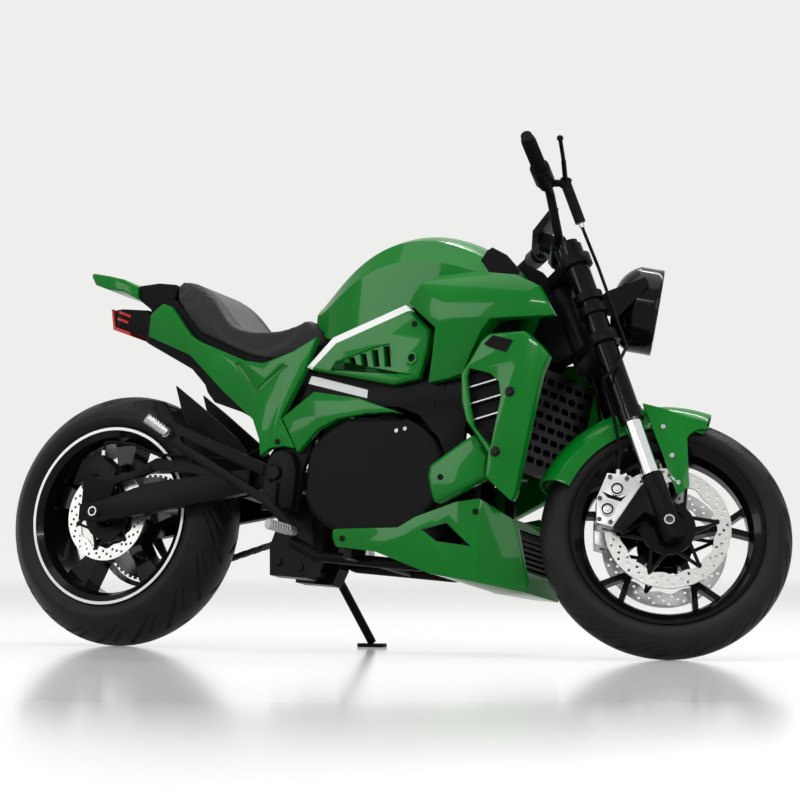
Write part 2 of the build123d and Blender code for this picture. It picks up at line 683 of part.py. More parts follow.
# Belly pan: side walls, a closed bow and a cut window on each side
belly_side = [(706, 277), (720, 283), (900, 289), (945, 315), (1052, 352), (1113, 362), (1178, 322),
              (1186, 304), (1222, 176), (1218, 147), (999, 177), (842, 229), (732, 240)]
belly_plan = [(690, 152), (730, belly_half), (1060, belly_half), (1120, 164), (1222, 84)]
with BuildPart() as belly_cavity:
    side_slab([(690, 200), (690, 500), (1300, 500), (1300, 200), (1176, 200), (1196, 172), (1010, 190),
               (990, 100), (690, 100)], -300, 300)
    plan_cut([(600, belly_half - belly_wall), (1058, belly_half - belly_wall), (1114, 158), (1176, 108)])
with BuildPart() as belly_pan:
    side_slab(belly_side, -belly_half, belly_half)
    plan_cut(belly_plan)
    add(belly_cavity.part, mode=Mode.SUBTRACT)
    side_slab([(964, 285), (1031, 302), (1100, 246), (1008, 256)], -300, 300, mode=Mode.SUBTRACT)
    side_slab([(1150, 196), (1150, 300), (1300, 300), (1300, 196)], -86, 86, mode=Mode.SUBTRACT)
belly_pan.part.label = "belly_pan"

# Bow grille: slats between two posts
slats = 7
with BuildPart() as belly_grille:
    back = [(1168, 197), (1168, 299), (1180, 299), (1208, 197)]
    side_slab(back, -86 + seat_gap, 86 - seat_gap)
    for n in range(slats):
        z = 204 + 13.5 * n
        side_slab([(1178, z), (1178, z + 6), (1230, z + 6), (1230, z)], -70, 70, mode=Mode.SUBTRACT)
belly_grille.part.label = "belly_grille"

# Tail tray: the closed underside that carries the seat and the tail panels
seat_base = [(150, 884), (242, 796), (412, 727), (467, 716), (529, 733), (606, 768)]
tray_low = [(490, 560), (440, 566), (396, 585), (307, 612), (281, 638), (270, 659), (223, 701), (60, 778),
            (56, 846)]
with BuildPart() as tail_tray:
    side_slab([(x, z - seat_gap) for x, z in seat_base[:4]] + [(495, 719)] + tray_low + [(120, 884)], 0, 200)
    plan_band([(0, 0), (0, 60), (80, 84.7), (470, 136.3), (470, core_half), (600, core_half), (600, 0)])
    mirror(about=Plane.XZ)
tail_tray.part.label = "tail_tray"

# Seat: one closed saddle with a raised back
with BuildPart() as seat:
    with BuildSketch(Plane.XZ) as saddle:
        with BuildLine():
            Polyline(*seat_base)
            Line(seat_base[-1], (598, 790))
            Line((598, 790), (545, 824))
            ThreePointArc((545, 824), (430, 789), (340, 812))
            Line((340, 812), (290, 866))
            ThreePointArc((290, 866), (228, 912), (158, 934))
            Line((158, 934), (142, 926))
            Line((142, 926), seat_base[0])
        make_face()
    extrude(saddle.sketch, amount=140, both=True)
    plan_cut([(130, 78), (200, 108), (330, 134), (440, 134), (540, 104), (610, 66)])
seat.part.label = "seat"

# Pillion cowl behind the seat
with BuildPart() as pillion_cowl:
    side_slab([(20, 892), (14, 930), (76, 936), (130, 931), (138, 924), (130, 884.4), (120, 884.4),
               (64, 851.2), (57, 867)], -72, 72)
    fillet(pillion_cowl.edges().filter_by(Axis.Y).group_by(Axis.Z)[-1], 6)
pillion_cowl.part.label = "pillion_cowl"

# Tail spoiler
with BuildPart() as spoiler:
    side_slab([(-142, 962), (-136, 969), (-26, 946), (14, 928), (19.5, 893), (-23, 913), (-70, 920),
               (-122, 936)], -90, 90)
    plan_cut([(-142, 64), (-70, 88), (20, 80)])
spoiler.part.label = "spoiler"

# Tail lamp: a dark housing and a red lens wrapped round it
lamp_side = [(-78, 876), (-62, 828), (-4, 810), (54, 790), (55.7, 845), (50, 866)]
with BuildPart() as tail_lamp:
    side_slab(lamp_side, -66, 66)
    plan_cut([(-70, 40), (-40, 58), (56, 66)])
tail_lamp.part.label = "tail_lamp"

lens_bars = [[(-56, 846), (-14, 832), (-12, 838), (-54, 852)], [(-50, 862), (-8, 848), (-6, 854), (-48, 868)]]
with BuildPart() as tail_lens:
    side_slab([(-87, 878), (-70, 821), (-4, 800.5), (-4, 809.5), (-62.3, 827.6), (-78.4, 876)], -66, 66)
    plan_cut([(-88, 36), (-70, 44), (-40, 60), (0, 62)])
    for bar in lens_bars:
        with BuildPart(mode=Mode.PRIVATE) as strip:
            side_slab(bar, 30, 90)
            plan_band([(-70, 40 + seat_gap), (-40, 58 + seat_gap), (56, 66 + seat_gap), (56, 69), (-40, 61),
                       (-70, 43)])
            mirror(about=Plane.XZ)
        add(strip.part)
tail_lens.part.label = "tail_lens"

# Rear hugger: a curved shield in front of the tyre with two swept fins
with BuildPart() as hugger:
    inner_arc = rear_tyre_radius + 9
    with BuildSketch(Plane(origin=rear_axle, x_dir=(0, 1, 0), z_dir=(1, 0, 0))) as section:
        with BuildLine():
            arc = ThreePointArc((-92, inner_arc - 46), (0, inner_arc), (92, inner_arc - 46))
            back = ThreePointArc((-97, inner_arc - 44), (0, inner_arc + 5), (97, inner_arc - 44))
            Line(arc @ 0, back @ 0)
            Line(arc @ 1, back @ 1)
        make_face()
    swung = section.sketch.rotate(Axis(rear_axle, (0, 1, 0)), 30)
    revolve(swung, axis=Axis(rear_axle, (0, 1, 0)), revolution_arc=45)
    side_slab([(322, 418), (326, 406), (400 - seat_gap, 408), (400 - seat_gap, 426), (330, 436)], -50, 50)
    fin = [(157, 665), (232, 615), (361, 523), (388, 488), (392, 446), (345, 434), (299, 421), (272, 481),
           (233, 534), (193, 571)]
    for side in (-1, 1):
        side_slab(fin, side * 66 - 4, side * 66 + 4)
hugger.part.label = "hugger"

# Peg brackets: two bars in a V on each side, out to the rider's peg in front
peg_bars = [(505, 446), (236, 548), (192, 604), (158, 606), (206, 500), (508, 346), (612, 262), (622, 282),
            (540, 346), (520, 372), (505, 372), (258, 500), (250, 516), (505, 414)]
with BuildPart() as peg_brackets:
    side_slab(peg_bars, plate_outer + seat_gap, plate_outer + 14)
    side_slab([(505, 330), (505, 446), (524, 446), (524, 400), (544, 400), (544, 330)],
              plate_outer + seat_gap, plate_outer + 8)
    rod((pivot_x, -plate_outer - 20, pivot_z), (pivot_x, -plate_outer, pivot_z), 18, mode=Mode.SUBTRACT)
    mirror(about=Plane.XZ)
peg_brackets.part.label = "peg_brackets"

with BuildPart() as footpegs:
    outer = plate_outer + 14 + seat_gap
    for root, tip, radius in (((608, 276), (584, 282), 12), ((214, 524), (180, 552), 13)):
        reach = 84 if root[0] > pivot_x else 52
        rod((root[0], -outer, root[1]), (root[0], -outer - 14, root[1]), radius)
        rod((root[0], -outer - 12, root[1]), (tip[0], -outer - reach, tip[1]), radius)
    mirror(about=Plane.XZ)
footpegs.part.label = "footpegs"

# Rear brake caliper on its bracket
with BuildPart() as rear_caliper:
    side_slab([(-92, 400), (-70, 462), (-18, 476), (36, 440), (30, 404), (-22, 424)], rear_disc_y - 20,
              arm_inner - seat_gap)
    side_slab([(-60, 350), (-60, 420), (30, 420), (116, 440), (122, 424), (36, 400), (24, 350)],
              arm_inner - 12, arm_inner - seat_gap)
    gap = disc_thickness / 2 + pad_clearance
    rod((0, gap - rear_disc_y, rear_axle.Z), (0, -gap - rear_disc_y, rear_axle.Z), rear_disc_radius + 5,
        mode=Mode.SUBTRACT)
    rod(rear_axle - Vector(0, 160, 0), rear_axle, 26, mode=Mode.SUBTRACT)
rear_caliper.part.label = "rear_caliper"

# Fork: yokes and stem, tubes, stanchions and feet
with BuildPart() as triple_clamps:
    for height in (lower_yoke, upper_yoke):
        with BuildSketch(fork_plane(height - yoke_thickness / 2)) as yoke:
            for side in (-1, 1):
                with Locations((fork_offset, side * leg_half)):
                    Circle(leg_radius + yoke_wall)
            with BuildLine():
                Polyline((-30, -30), (-30, 30), (fork_offset - 26, leg_half), (fork_offset + 30, leg_half),
                         (fork_offset + 14, 0), (fork_offset + 30, -leg_half),
                         (fork_offset - 26, -leg_half), close=True)
            make_face()
            for side in (-1, 1):
                with Locations((fork_offset, side * leg_half)):
                    Circle(leg_radius + seat_gap, mode=Mode.SUBTRACT)
        extrude(yoke.sketch, amount=yoke_thickness)
    rod(fork_point(lower_yoke, 0, 0), fork_point(upper_yoke + 20, 0, 0), stem_radius)
    for side in (-1, 1):
        rod(fork_point(upper_yoke, 22, side * 45), fork_point(upper_yoke + bar_rise - 9, 22, side * 45), 15)
    clamp_height = upper_yoke + bar_rise
    rod(fork_point(clamp_height, 22, -62), fork_point(clamp_height, 22, 62), 20)
    rod(fork_point(clamp_height, 22, -70), fork_point(clamp_height, 22, 70), bar_radius + seat_gap,
        mode=Mode.SUBTRACT)
triple_clamps.part.label = "triple_clamps"

with BuildPart() as fork_tubes:
    rod(fork_point(leg_bottom, fork_offset, -leg_half), fork_point(leg_top, fork_offset, -leg_half),
        leg_radius)
    rod(fork_point(leg_top, fork_offset, -leg_half), fork_point(leg_top + 12, fork_offset, -leg_half),
        leg_radius - 6)
    rod(fork_point(leg_bottom - 8, fork_offset, -leg_half),
        fork_point(leg_bottom + 22, fork_offset, -leg_half), collar_radius)
    rod(fork_point(leg_bottom - 9, fork_offset, -leg_half),
        fork_point(leg_bottom + 6, fork_offset, -leg_half), stanchion_radius + seat_gap, mode=Mode.SUBTRACT)
    mirror(about=Plane.XZ)
fork_tubes.part.label = "fork_tubes"

with BuildPart() as stanchions:
    rod(fork_point(foot_top - 6, fork_offset, -leg_half),
        fork_point(leg_bottom + 5, fork_offset, -leg_half), stanchion_radius)
    mirror(about=Plane.XZ)
stanchions.part.label = "fork_stanchions"

caliper_lug = [(-30, 96), (-74, 86), (-128, -26), (-104, -36), (-60, 20), (-8, 2), (10, 40)]
with BuildPart() as fork_feet:
    rod(fork_point(foot_bottom, fork_offset, -leg_half), fork_point(foot_top, fork_offset, -leg_half),
        foot_radius)
    wheel_slab(front_axle_centre, caliper_lug, -leg_half - 6, -84)
    rod(fork_point(foot_top - 7, fork_offset, -leg_half), fork_point(foot_top + 5, fork_offset, -leg_half),
        stanchion_radius + seat_gap, mode=Mode.SUBTRACT)
    rod(front_axle_centre - Vector(0, 160, 0), front_axle_centre, axle_radius + seat_gap / 2,
        mode=Mode.SUBTRACT)
    mirror(about=Plane.XZ)
fork_feet.part.label = "fork_feet"

with BuildPart() as front_calipers:
    caliper_side = [(-74.3, 86.15), (-128.3, -25.85), (-168, -20), (-176, 40), (-158, 108), (-104, 108)]
    wheel_slab(front_axle_centre, caliper_side, -102, -50)
    for ahead, above in ((-130, 70), (-147, 16)):
        piston = front_axle_centre + Vector(ahead, -101, above)
        rod(piston, piston - Vector(0, 6, 0), 17)
    gap = disc_thickness / 2 + pad_clearance
    rod(front_axle_centre - Vector(0, front_disc_y + gap, 0),
        front_axle_centre - Vector(0, front_disc_y - gap, 0), front_disc_radius + 5, mode=Mode.SUBTRACT)
    mirror(about=Plane.XZ)
front_calipers.part.label = "front_calipers"

# Front fender: a hood over the tyre and a flap in front of each leg
with BuildPart() as front_fender:
    hood = front_tyre_radius + 26
    wall = leg_half - collar_radius - seat_gap
    with BuildSketch(wheel_plane(front_axle_centre)) as section:
        with BuildLine():
            over = ThreePointArc((-wall, hood - 40), (0, hood + 4), (wall, hood - 40))
            under = ThreePointArc((4 - wall, hood - 42), (0, hood), (wall - 4, hood - 42))
            Polyline(over @ 0, (-wall, hood - 72), (4 - wall, hood - 72), under @ 0)
            Polyline(over @ 1, (wall, hood - 72), (wall - 4, hood - 72), under @ 1)
        make_face()
    swung = section.sketch.rotate(Axis(front_axle_centre, (0, 1, 0)), 13)
    revolve(swung, axis=Axis(front_axle_centre, (0, -1, 0)), revolution_arc=86)
    flap = [(-94, 302), (-49, 296), (24, 280), (77, 259), (32, 252), (20, 228), (38, 108), (14, 80),
            (-24, 160)]
    flap_root = [(-94, 302), (-49, 296), (24, 280), (58, 264), (20, 236), (-58, 236)]
    flap_inner = front_disc_y + disc_thickness / 2 + disc_gap
    for side in (-1, 1):
        for points, inner in ((flap, flap_inner), (flap_root, wall - 3)):
            low, high = sorted((side * inner, side * (flap_inner + 7)))
            wheel_slab(front_axle_centre, points, low, high)
front_fender.part.label = "front_fender"

# Headlamp: a deep bowl, its glass and two brackets from the fork legs
lamp_centre = Vector(1440, 0, 876)
lamp_axis = Vector(cos(radians(3)), 0, -sin(radians(3)))
lamp_plane = Plane(origin=lamp_centre, x_dir=lamp_axis, z_dir=(0, -1, 0))
with BuildPart() as headlamp:
    with BuildSketch(lamp_plane) as bowl:
        with BuildLine():
            Polyline((0, lamp_radius - lamp_wall), (0, lamp_radius), (-52, lamp_radius))
            ThreePointArc((-52, lamp_radius), (-92, 72), (-106, 10))
            Polyline((-106, 10), (-98, 10))
            ThreePointArc((-98, 10), (-84, 68), (-48, lamp_radius - lamp_wall))
            Line((-48, lamp_radius - lamp_wall), (0, lamp_radius - lamp_wall))
        make_face()
    revolve(bowl.sketch, axis=Axis(lamp_centre, lamp_axis))
headlamp.part.label = "headlamp"

lens_dome = 420.0
with BuildPart() as headlamp_lens:
    rod(lamp_centre - lamp_axis * 24, lamp_centre, lamp_radius - lamp_wall - seat_gap)
    with Locations(lamp_centre - lamp_axis * (lens_dome + 2)):
        Sphere(lens_dome, mode=Mode.INTERSECT)
headlamp_lens.part.label = "headlamp_lens"

with BuildPart() as lamp_brackets:
    lamp_rings = [lower_yoke + share * (upper_yoke - lower_yoke) for share in (0.31, 0.48)]
    for height in lamp_rings:
        rod(fork_point(height, fork_offset, -leg_half), fork_point(height + 20, fork_offset, -leg_half),
            leg_radius + 8)
    side_slab([(1312, 806), (1296, 846), (1318, 870), (1404, 918), (1416, 900), (1352, 808)], lamp_radius + 1,
              lamp_radius + 5)
    rod((1404, -lamp_radius - seat_gap, 905), (1404, -lamp_radius - 4, 905), 9)
    rod(fork_point(lamp_rings[0] - 16, fork_offset, -leg_half),
        fork_point(lamp_rings[1] + 38, fork_offset, -leg_half), leg_radius + seat_gap, mode=Mode.SUBTRACT)
    mirror(about=Plane.XZ)
lamp_brackets.part.label = "lamp_brackets"

# Handlebar, with grips, switches and levers on its straight ends
bar_clamp = fork_point(upper_yoke + bar_rise, 22, 0)
bar_end = bar_clamp + Vector(-97.6, -392, 105.9)
bar_bend = bar_clamp + Vector(-34.6, -165, 79.9)
bar_along = (bar_bend - bar_end).normalized()
with BuildPart() as handlebar:
    knee = bar_clamp + Vector(0, -82, 0)
    half_bar = [bar_end, bar_bend, knee]
    bent_tube([tuple(p) for p in half_bar + [Vector(p.X, -p.Y, p.Z) for p in reversed(half_bar)]],
              bar_radius, 30)
handlebar.part.label = "handlebar"


def bar_point(distance):
    return bar_end + bar_along * distance


with BuildPart() as grips:
    rod(bar_point(3), bar_point(128), 17, bore=bar_radius + seat_gap)
    rod(bar_point(124), bar_point(130), 24, bore=bar_radius + seat_gap)
    rod(bar_point(-14), bar_point(-seat_gap), 14)
    mirror(about=Plane.XZ)
grips.part.label = "grips"

with BuildPart() as switches:
    rod(bar_point(132), bar_point(182), 24, bore=bar_radius + seat_gap)
    mirror(about=Plane.XZ)
switches.part.label = "switch_housings"

lever_pivot = bar_clamp + Vector(1.4, -220, 84.9)
lever_bend = bar_clamp + Vector(-8.6, -292, 106.9)
lever_tip = bar_clamp + Vector(-22.6, -362, 132.9)
master_end = bar_clamp + Vector(49.4, -196, -4.1)
with BuildPart() as levers:
    rod(bar_point(186), bar_point(202), 19)
    rod(bar_point(194), lever_pivot, 9)
    rod(lever_pivot, master_end, 13)
    rod(lever_pivot - Vector(0, 0, 10), lever_pivot + Vector(0, 0, 10), 14)
    rod(lever_pivot, lever_bend, 6)
    rod(lever_bend, lever_tip, 5)
    with Locations(lever_bend):
        Sphere(6)
    with Locations(lever_tip):
        Sphere(8)
    rod(bar_point(180), bar_point(210), bar_radius + seat_gap, mode=Mode.SUBTRACT)
    mirror(about=Plane.XZ)
levers.part.label = "levers"

# Dash on the bar clamp
with BuildPart() as dash:
    screen = [(-67, 21), (-51, 13), (-11, 89), (-25, 99)]
    bracket = [(-49, 7), (-55, 19), (-35, 41), (-7, 35), (11, 11), (-5, -9)]
    for corners, half in ((screen, 62), (bracket, 14)):
        side_slab([(bar_clamp.X + ahead, bar_clamp.Z + above) for ahead, above in corners], -half, half)
    rod(bar_clamp - Vector(0, 50, 0), bar_clamp + Vector(0, 50, 0), 20 + seat_gap, mode=Mode.SUBTRACT)
dash.part.label = "dash"

# Brake hoses: from the lever's cylinder to the right caliper, and from the lower yoke to the left one
hose_start = (master_end - lever_pivot).normalized()
caliper_port = front_axle_centre + Vector(-133, 0, 108 + seat_gap)
leg_front = [
    # height up the fork, ahead of the steering axis, side
    (668, 83, 118),
    (452, 83, 118),
    (400, 40, 148),
    (380, -2, 140),
]
leg_back = [(362, -2, 114), (289, -3, 108), (210, -12, 92)]
with BuildPart() as front_brake_hoses:
    right_run = [master_end + hose_start * seat_gap, master_end + hose_start * 22]
    right_run += [fork_point(height, ahead, -side) for height, ahead, side in leg_front + leg_back]
    right_run.append(caliper_port + Vector(0, -92, 0))
    yoke_port = fork_point(lower_yoke - yoke_thickness / 2 - seat_gap, 6, 60)
    left_run = [yoke_port, yoke_port - steer_up * 46]
    left_run += [fork_point(height, ahead, side) for height, ahead, side in leg_back]
    left_run.append(caliper_port + Vector(0, 92, 0))
    for run in (right_run, left_run):
        bent_tube([tuple(p) for p in run], hose_radius, 12)
front_brake_hoses.part.label = "front_brake_hoses"

with BuildPart() as rear_brake_hose:
    rear_run = [(-18, -108, 476 + seat_gap), (-18, -108, 512), (70, -112, 506), (150, -113, 478),
                (390, -113, 464), (470, -110, 500), (548, -108, 520), (548, seat_gap - frame_inner, 520)]
    bent_tube(rear_run, hose_radius, 12)
rear_brake_hose.part.label = "rear_brake_hose"

# Side stand on its pin
stance_tilt = Location((0, 0, 0), (-lean_angle, 0, 0))


def lowest_point(turn, centre, wheel_axis, radius, crown):
    moved_axis = (turn * Pos(wheel_axis)).position - turn.position
    moved_centre = (turn * Pos(centre)).position
    return moved_centre.Z - (radius - crown) * sqrt(1 - moved_axis.Z**2) - crown


steer_turn = Pos(steer_foot) * Location((0, 0, 0), tuple(steer_up), steer_lock) * Pos(-steer_foot)
steered_axis = (steer_turn * Pos(0, 1, 0)).position - steer_turn.position
steered_centre = (steer_turn * Pos(front_axle_centre)).position
pitch = 0.0
for attempt in range(4):
    stance = Rot(0, pitch, 0) * stance_tilt
    front_low = lowest_point(stance, steered_centre, steered_axis, front_tyre_radius, front_crown)
    rear_low = lowest_point(stance, rear_axle, Vector(0, 1, 0), rear_tyre_radius, rear_crown)
    pitch += atan((front_low - rear_low) / wheelbase) * 180 / 3.141592653589793
stance = Pos(0, 0, -rear_low) * Rot(0, pitch, 0) * stance_tilt
floor_up = (stance.inverse() * Pos(0, 0, 1)).position - stance.inverse().position
floor_point = stance.inverse().position
floor_z = floor_point.Z - (
    (stand_foot_x - floor_point.X) * floor_up.X + (stand_foot_y - floor_point.Y) * floor_up.Y) / floor_up.Z
foot_plane = Plane(origin=(stand_foot_x, stand_foot_y, floor_z), x_dir=(1, 0, 0), z_dir=floor_up)
with BuildPart() as side_stand:
    rod(stand_pivot - stand_axis * stand_hub_half, stand_pivot + stand_axis * stand_hub_half,
        stand_hub_radius)
    foot_top_point = foot_plane.origin + floor_up * 12
    rod(stand_pivot, foot_top_point, stand_leg_radius)
    with BuildSketch(foot_plane) as pad:
        RectangleRounded(74, 40, 12)
    extrude(pad.sketch, amount=9)
    rod(stand_pivot - stand_axis * 30, stand_pivot + stand_axis * 30, stand_pin_radius + seat_gap,
        mode=Mode.SUBTRACT)
side_stand.part.label = "side_stand"

# Each body's pieces, stood at rest with the origin under the middle of the machine
bodies = {"chassis": [frame, lower_cradle, swingarm, pivot_bolt, pivot_plates, motor_unit, drive_sprocket,
                      chain, battery_case, radiator, tank_cover, tank_shoulders, vent_panels, tail_panels,
                      arch_panels, radiator_panels, side_louvres, mid_arms, belly_pan, belly_grille,
                      tail_tray, seat, pillion_cowl, spoiler, tail_lamp, tail_lens, hugger, peg_brackets,
                      footpegs, rear_caliper, rear_brake_hose, rear_axle_shaft],
          "fork": [triple_clamps, fork_tubes, stanchions, fork_feet, front_calipers, front_brake_hoses,
                   front_fender, headlamp, headlamp_lens, lamp_brackets, handlebar, grips, switches, levers,
                   dash, front_axle_shaft], "front_wheel": [front_tyre, front_rim, front_discs],
          "rear_wheel": [rear_tyre, rear_rim, rear_disc, rear_sprocket], "stand": [side_stand], }
steered = ("fork", "front_wheel")
placed = []
for body, builders in bodies.items():
    place = stance * steer_turn if body in steered else stance
    for builder in builders:
        shape = builder.part.moved(place)
        shape.label = builder.part.label
        placed.append(shape)
box = Compound(children=[copy_of for copy_of in placed]).bounding_box()
middle = Pos(-box.center().X, -box.center().Y, -box.min.Z)
for shape in placed:
    shape.parent = None
    export_step(shape.moved(middle), "parts/" + shape.label + ".step")

print("size", box.size, "pitch", pitch)


def report(name, point, direction, place):
    at = (middle * place * Pos(point)).position
    turned_to = (middle * place * Pos(direction)).position - (middle * place).position
    print(name, [round(v / 1000, 6) for v in at], [round(v, 6) for v in turned_to])


report("steering", steer_foot, steer_up, stance)
report("front_wheel_spin", front_axle_centre, Vector(0, 1, 0), stance * steer_turn)
report("rear_wheel_spin", rear_axle, Vector(0, 1, 0), stance)
report("side_stand", stand_pivot, stand_axis.normalized(), stance)
report("stand_foot", foot_plane.origin, floor_up * -1, stance)
report("front_axle_end", front_axle_centre - Vector(0, front_axle_half, 0), Vector(0, -1, 0),
       stance * steer_turn)
report("rear_axle_end", rear_axle - Vector(0, rear_axle_half, 0), Vector(0, -1, 0), stance)
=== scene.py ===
import bpy
import bmesh
import json
import math
from mathutils import Matrix, Vector
from mathutils.bvhtree import BVHTree


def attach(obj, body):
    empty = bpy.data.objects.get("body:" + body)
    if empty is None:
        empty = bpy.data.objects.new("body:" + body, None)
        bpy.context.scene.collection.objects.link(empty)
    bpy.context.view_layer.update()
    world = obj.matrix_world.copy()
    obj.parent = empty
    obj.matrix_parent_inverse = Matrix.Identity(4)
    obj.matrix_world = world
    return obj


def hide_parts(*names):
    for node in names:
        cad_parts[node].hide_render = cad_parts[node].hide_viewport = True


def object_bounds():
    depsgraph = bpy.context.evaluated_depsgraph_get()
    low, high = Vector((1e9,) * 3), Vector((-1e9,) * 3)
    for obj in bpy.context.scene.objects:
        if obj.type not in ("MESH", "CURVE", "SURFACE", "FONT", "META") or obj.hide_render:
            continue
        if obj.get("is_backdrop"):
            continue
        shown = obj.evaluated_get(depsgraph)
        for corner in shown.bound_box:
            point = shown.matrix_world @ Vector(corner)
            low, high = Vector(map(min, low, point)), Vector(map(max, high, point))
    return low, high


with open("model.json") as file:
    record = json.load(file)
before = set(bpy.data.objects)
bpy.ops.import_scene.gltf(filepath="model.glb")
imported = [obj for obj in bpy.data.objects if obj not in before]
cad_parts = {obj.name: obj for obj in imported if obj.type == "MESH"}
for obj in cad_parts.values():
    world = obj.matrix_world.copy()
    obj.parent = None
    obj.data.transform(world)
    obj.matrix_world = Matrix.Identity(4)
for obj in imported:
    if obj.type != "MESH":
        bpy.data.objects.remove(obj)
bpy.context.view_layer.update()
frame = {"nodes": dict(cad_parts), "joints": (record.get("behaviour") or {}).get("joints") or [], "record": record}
nodes = frame["nodes"]
joints = {j["name"]: j for j in frame["joints"]}
scene = bpy.context.scene
print("frame loaded,", len(nodes), "nodes")

# the machine stood upright, in metres: x forward from the rear axle, y left, z up from the road
machine = {"rake": 25.0, "steerRest": 29.5, "rearRadius": 0.324, "frontRadius": 0.300, "wheelbase": 1.530}


# from the upright machine to its stance, read from the joints' axes
def uprightToStance():
    across = Vector(joints["rear_wheel_spin"]["axis"]).normalized()
    up = Vector(joints["steering"]["axis"]).normalized()
    ahead = across.cross(up).normalized()
    s, c = math.sin(math.radians(machine["rake"])), math.cos(math.radians(machine["rake"]))
    xAxis, zAxis = ahead * c - up * s, ahead * s + up * c
    turn = Matrix((xAxis, across, zAxis)).transposed().to_4x4()
    origin = Vector(joints["rear_wheel_spin"]["pos_m"]) - zAxis * machine["rearRadius"]
    return Matrix.Translation(origin) @ turn


steerAt, steerAxis = Vector(joints["steering"]["pos_m"]), Vector(joints["steering"]["axis"])
toBike = uprightToStance()
toFork = (Matrix.Translation(steerAt) @ Matrix.Rotation(math.radians(machine["steerRest"]), 4, steerAxis)
          @ Matrix.Translation(-steerAt) @ toBike)
rearHub = Vector((0, 0, machine["rearRadius"]))
frontHub = Vector((machine["wheelbase"], 0, machine["frontRadius"]))
placeOf = {"chassis": toBike, "fork": toFork, "front_wheel": toFork, "rear_wheel": toBike, "stand": toBike}


# node helpers: an input takes a socket to link, or a plain value
def feed(tree, sockets, values):
    for key, value in values.items():
        if isinstance(value, bpy.types.NodeSocket):
            tree.links.new(value, sockets[key])
        else:
            sockets[key].default_value = value


def addNode(tree, kind, values=None, **settings):
    node = tree.nodes.new(kind)
    for key, value in settings.items():
        setattr(node, key, value)
    feed(tree, node.inputs, values or {})
    return node


def calc(tree, operation, *values, **settings):
    inputs = dict(enumerate(values))
    return addNode(tree, "ShaderNodeMath", inputs, operation=operation, **settings).outputs[0]


def mapRange(tree, value, first, last, low=0.0, high=1.0):
    ends = {"Value": value, "From Min": low, "From Max": high, "To Min": first, "To Max": last}
    return addNode(tree, "ShaderNodeMapRange", ends).outputs[0]


def objectPlace(tree):
    return addNode(tree, "ShaderNodeTexCoord").outputs["Object"]


def noiseOf(tree, place, scale, detail=2.0):
    values = {"Vector": place, "Scale": scale, "Detail": detail}
    return addNode(tree, "ShaderNodeTexNoise", values).outputs["Fac"]


socketKinds = {"Points": "NodeSocketGeometry", "Pieces": "NodeSocketGeometry", "Finish": "NodeSocketMaterial",
               "Vector": "NodeSocketVector"}


# a node group whose inputs are floats unless their label says otherwise
def newGroup(name, kind, inputs, outputs):
    tree = bpy.data.node_groups.new(name, kind)
    for label, value in inputs.items():
        kindOf = socketKinds.get(label, "NodeSocketFloat")
        item = tree.interface.new_socket(name=label, in_out="INPUT", socket_type=kindOf)
        if value is not None:
            item.default_value = value
    for label in outputs:
        kindOf = socketKinds.get(label, "NodeSocketFloat")
        tree.interface.new_socket(name=label, in_out="OUTPUT", socket_type=kindOf)
    return tree, tree.nodes.new("NodeGroupInput").outputs, tree.nodes.new("NodeGroupOutput").inputs


# shader groups that several finishes share
grainSet = {"mottle": 7.0, "dustDetail": 6.0, "crease": 38.0, "creaseDetail": 5.0, "cellEdge": 0.25,
            "lineDetail": 4.0}


def buildFineGrain():
    tree, given, result = newGroup("fineGrain", "ShaderNodeTree", {"Scale": 400.0, "Detail": 3.0},
                                   ["Height", "Tone"])
    place = objectPlace(tree)
    fine = noiseOf(tree, place, given["Scale"], given["Detail"])
    tone = calc(tree, "MULTIPLY", fine, noiseOf(tree, place, grainSet["mottle"]))
    feed(tree, result, {"Height": fine, "Tone": calc(tree, "MULTIPLY", tone, 2.0)})
    return tree


def buildRoadDust():
    tree, given, result = newGroup("roadDust", "ShaderNodeTree", {"Top": 0.35, "Patches": 26.0}, ["Mask"])
    place = objectPlace(tree)
    height = addNode(tree, "ShaderNodeSeparateXYZ", {0: place}).outputs["Z"]
    fade = mapRange(tree, height, 1.0, 0.0, 0.0, given["Top"])
    patches = noiseOf(tree, place, given["Patches"], grainSet["dustDetail"])
    feed(tree, result, {"Mask": calc(tree, "MULTIPLY", fade, patches)})
    return tree


def buildLeatherCells():
    tree, given, result = newGroup("leatherCells", "ShaderNodeTree", {"Scale": 520.0}, ["Height", "Tone"])
    place = objectPlace(tree)
    cells = addNode(tree, "ShaderNodeTexVoronoi", {"Vector": place, "Scale": given["Scale"]},
                    feature="DISTANCE_TO_EDGE")
    crease = noiseOf(tree, place, grainSet["crease"], grainSet["creaseDetail"])
    rise = mapRange(tree, cells.outputs["Distance"], 0.0, 1.0, 0.0, grainSet["cellEdge"])
    feed(tree, result, {"Height": calc(tree, "ADD", rise, crease), "Tone": crease})
    return tree


# brushing that runs round a wheel's axle
def buildTurnedLines():
    tree, given, result = newGroup("turnedLines", "ShaderNodeTree", {"Vector": None, "Scale": 900.0},
                                   ["Height", "Tone"])
    split = addNode(tree, "ShaderNodeSeparateXYZ", {0: given["Vector"]}).outputs
    flat = addNode(tree, "ShaderNodeCombineXYZ", {0: split["X"], 2: split["Z"]}).outputs[0]
    reach = addNode(tree, "ShaderNodeVectorMath", {0: flat}, operation="LENGTH").outputs["Value"]
    line = calc(tree, "MULTIPLY", reach, given["Scale"])
    noise = addNode(tree, "ShaderNodeTexNoise", {"W": line, "Scale": 1.0, "Detail": grainSet["lineDetail"]},
                    noise_dimensions="1D").outputs["Fac"]
    feed(tree, result, {"Height": noise, "Tone": noise})
    return tree


fineGrain, roadDust = buildFineGrain(), buildRoadDust()
leatherCells, turnedLines = buildLeatherCells(), buildTurnedLines()


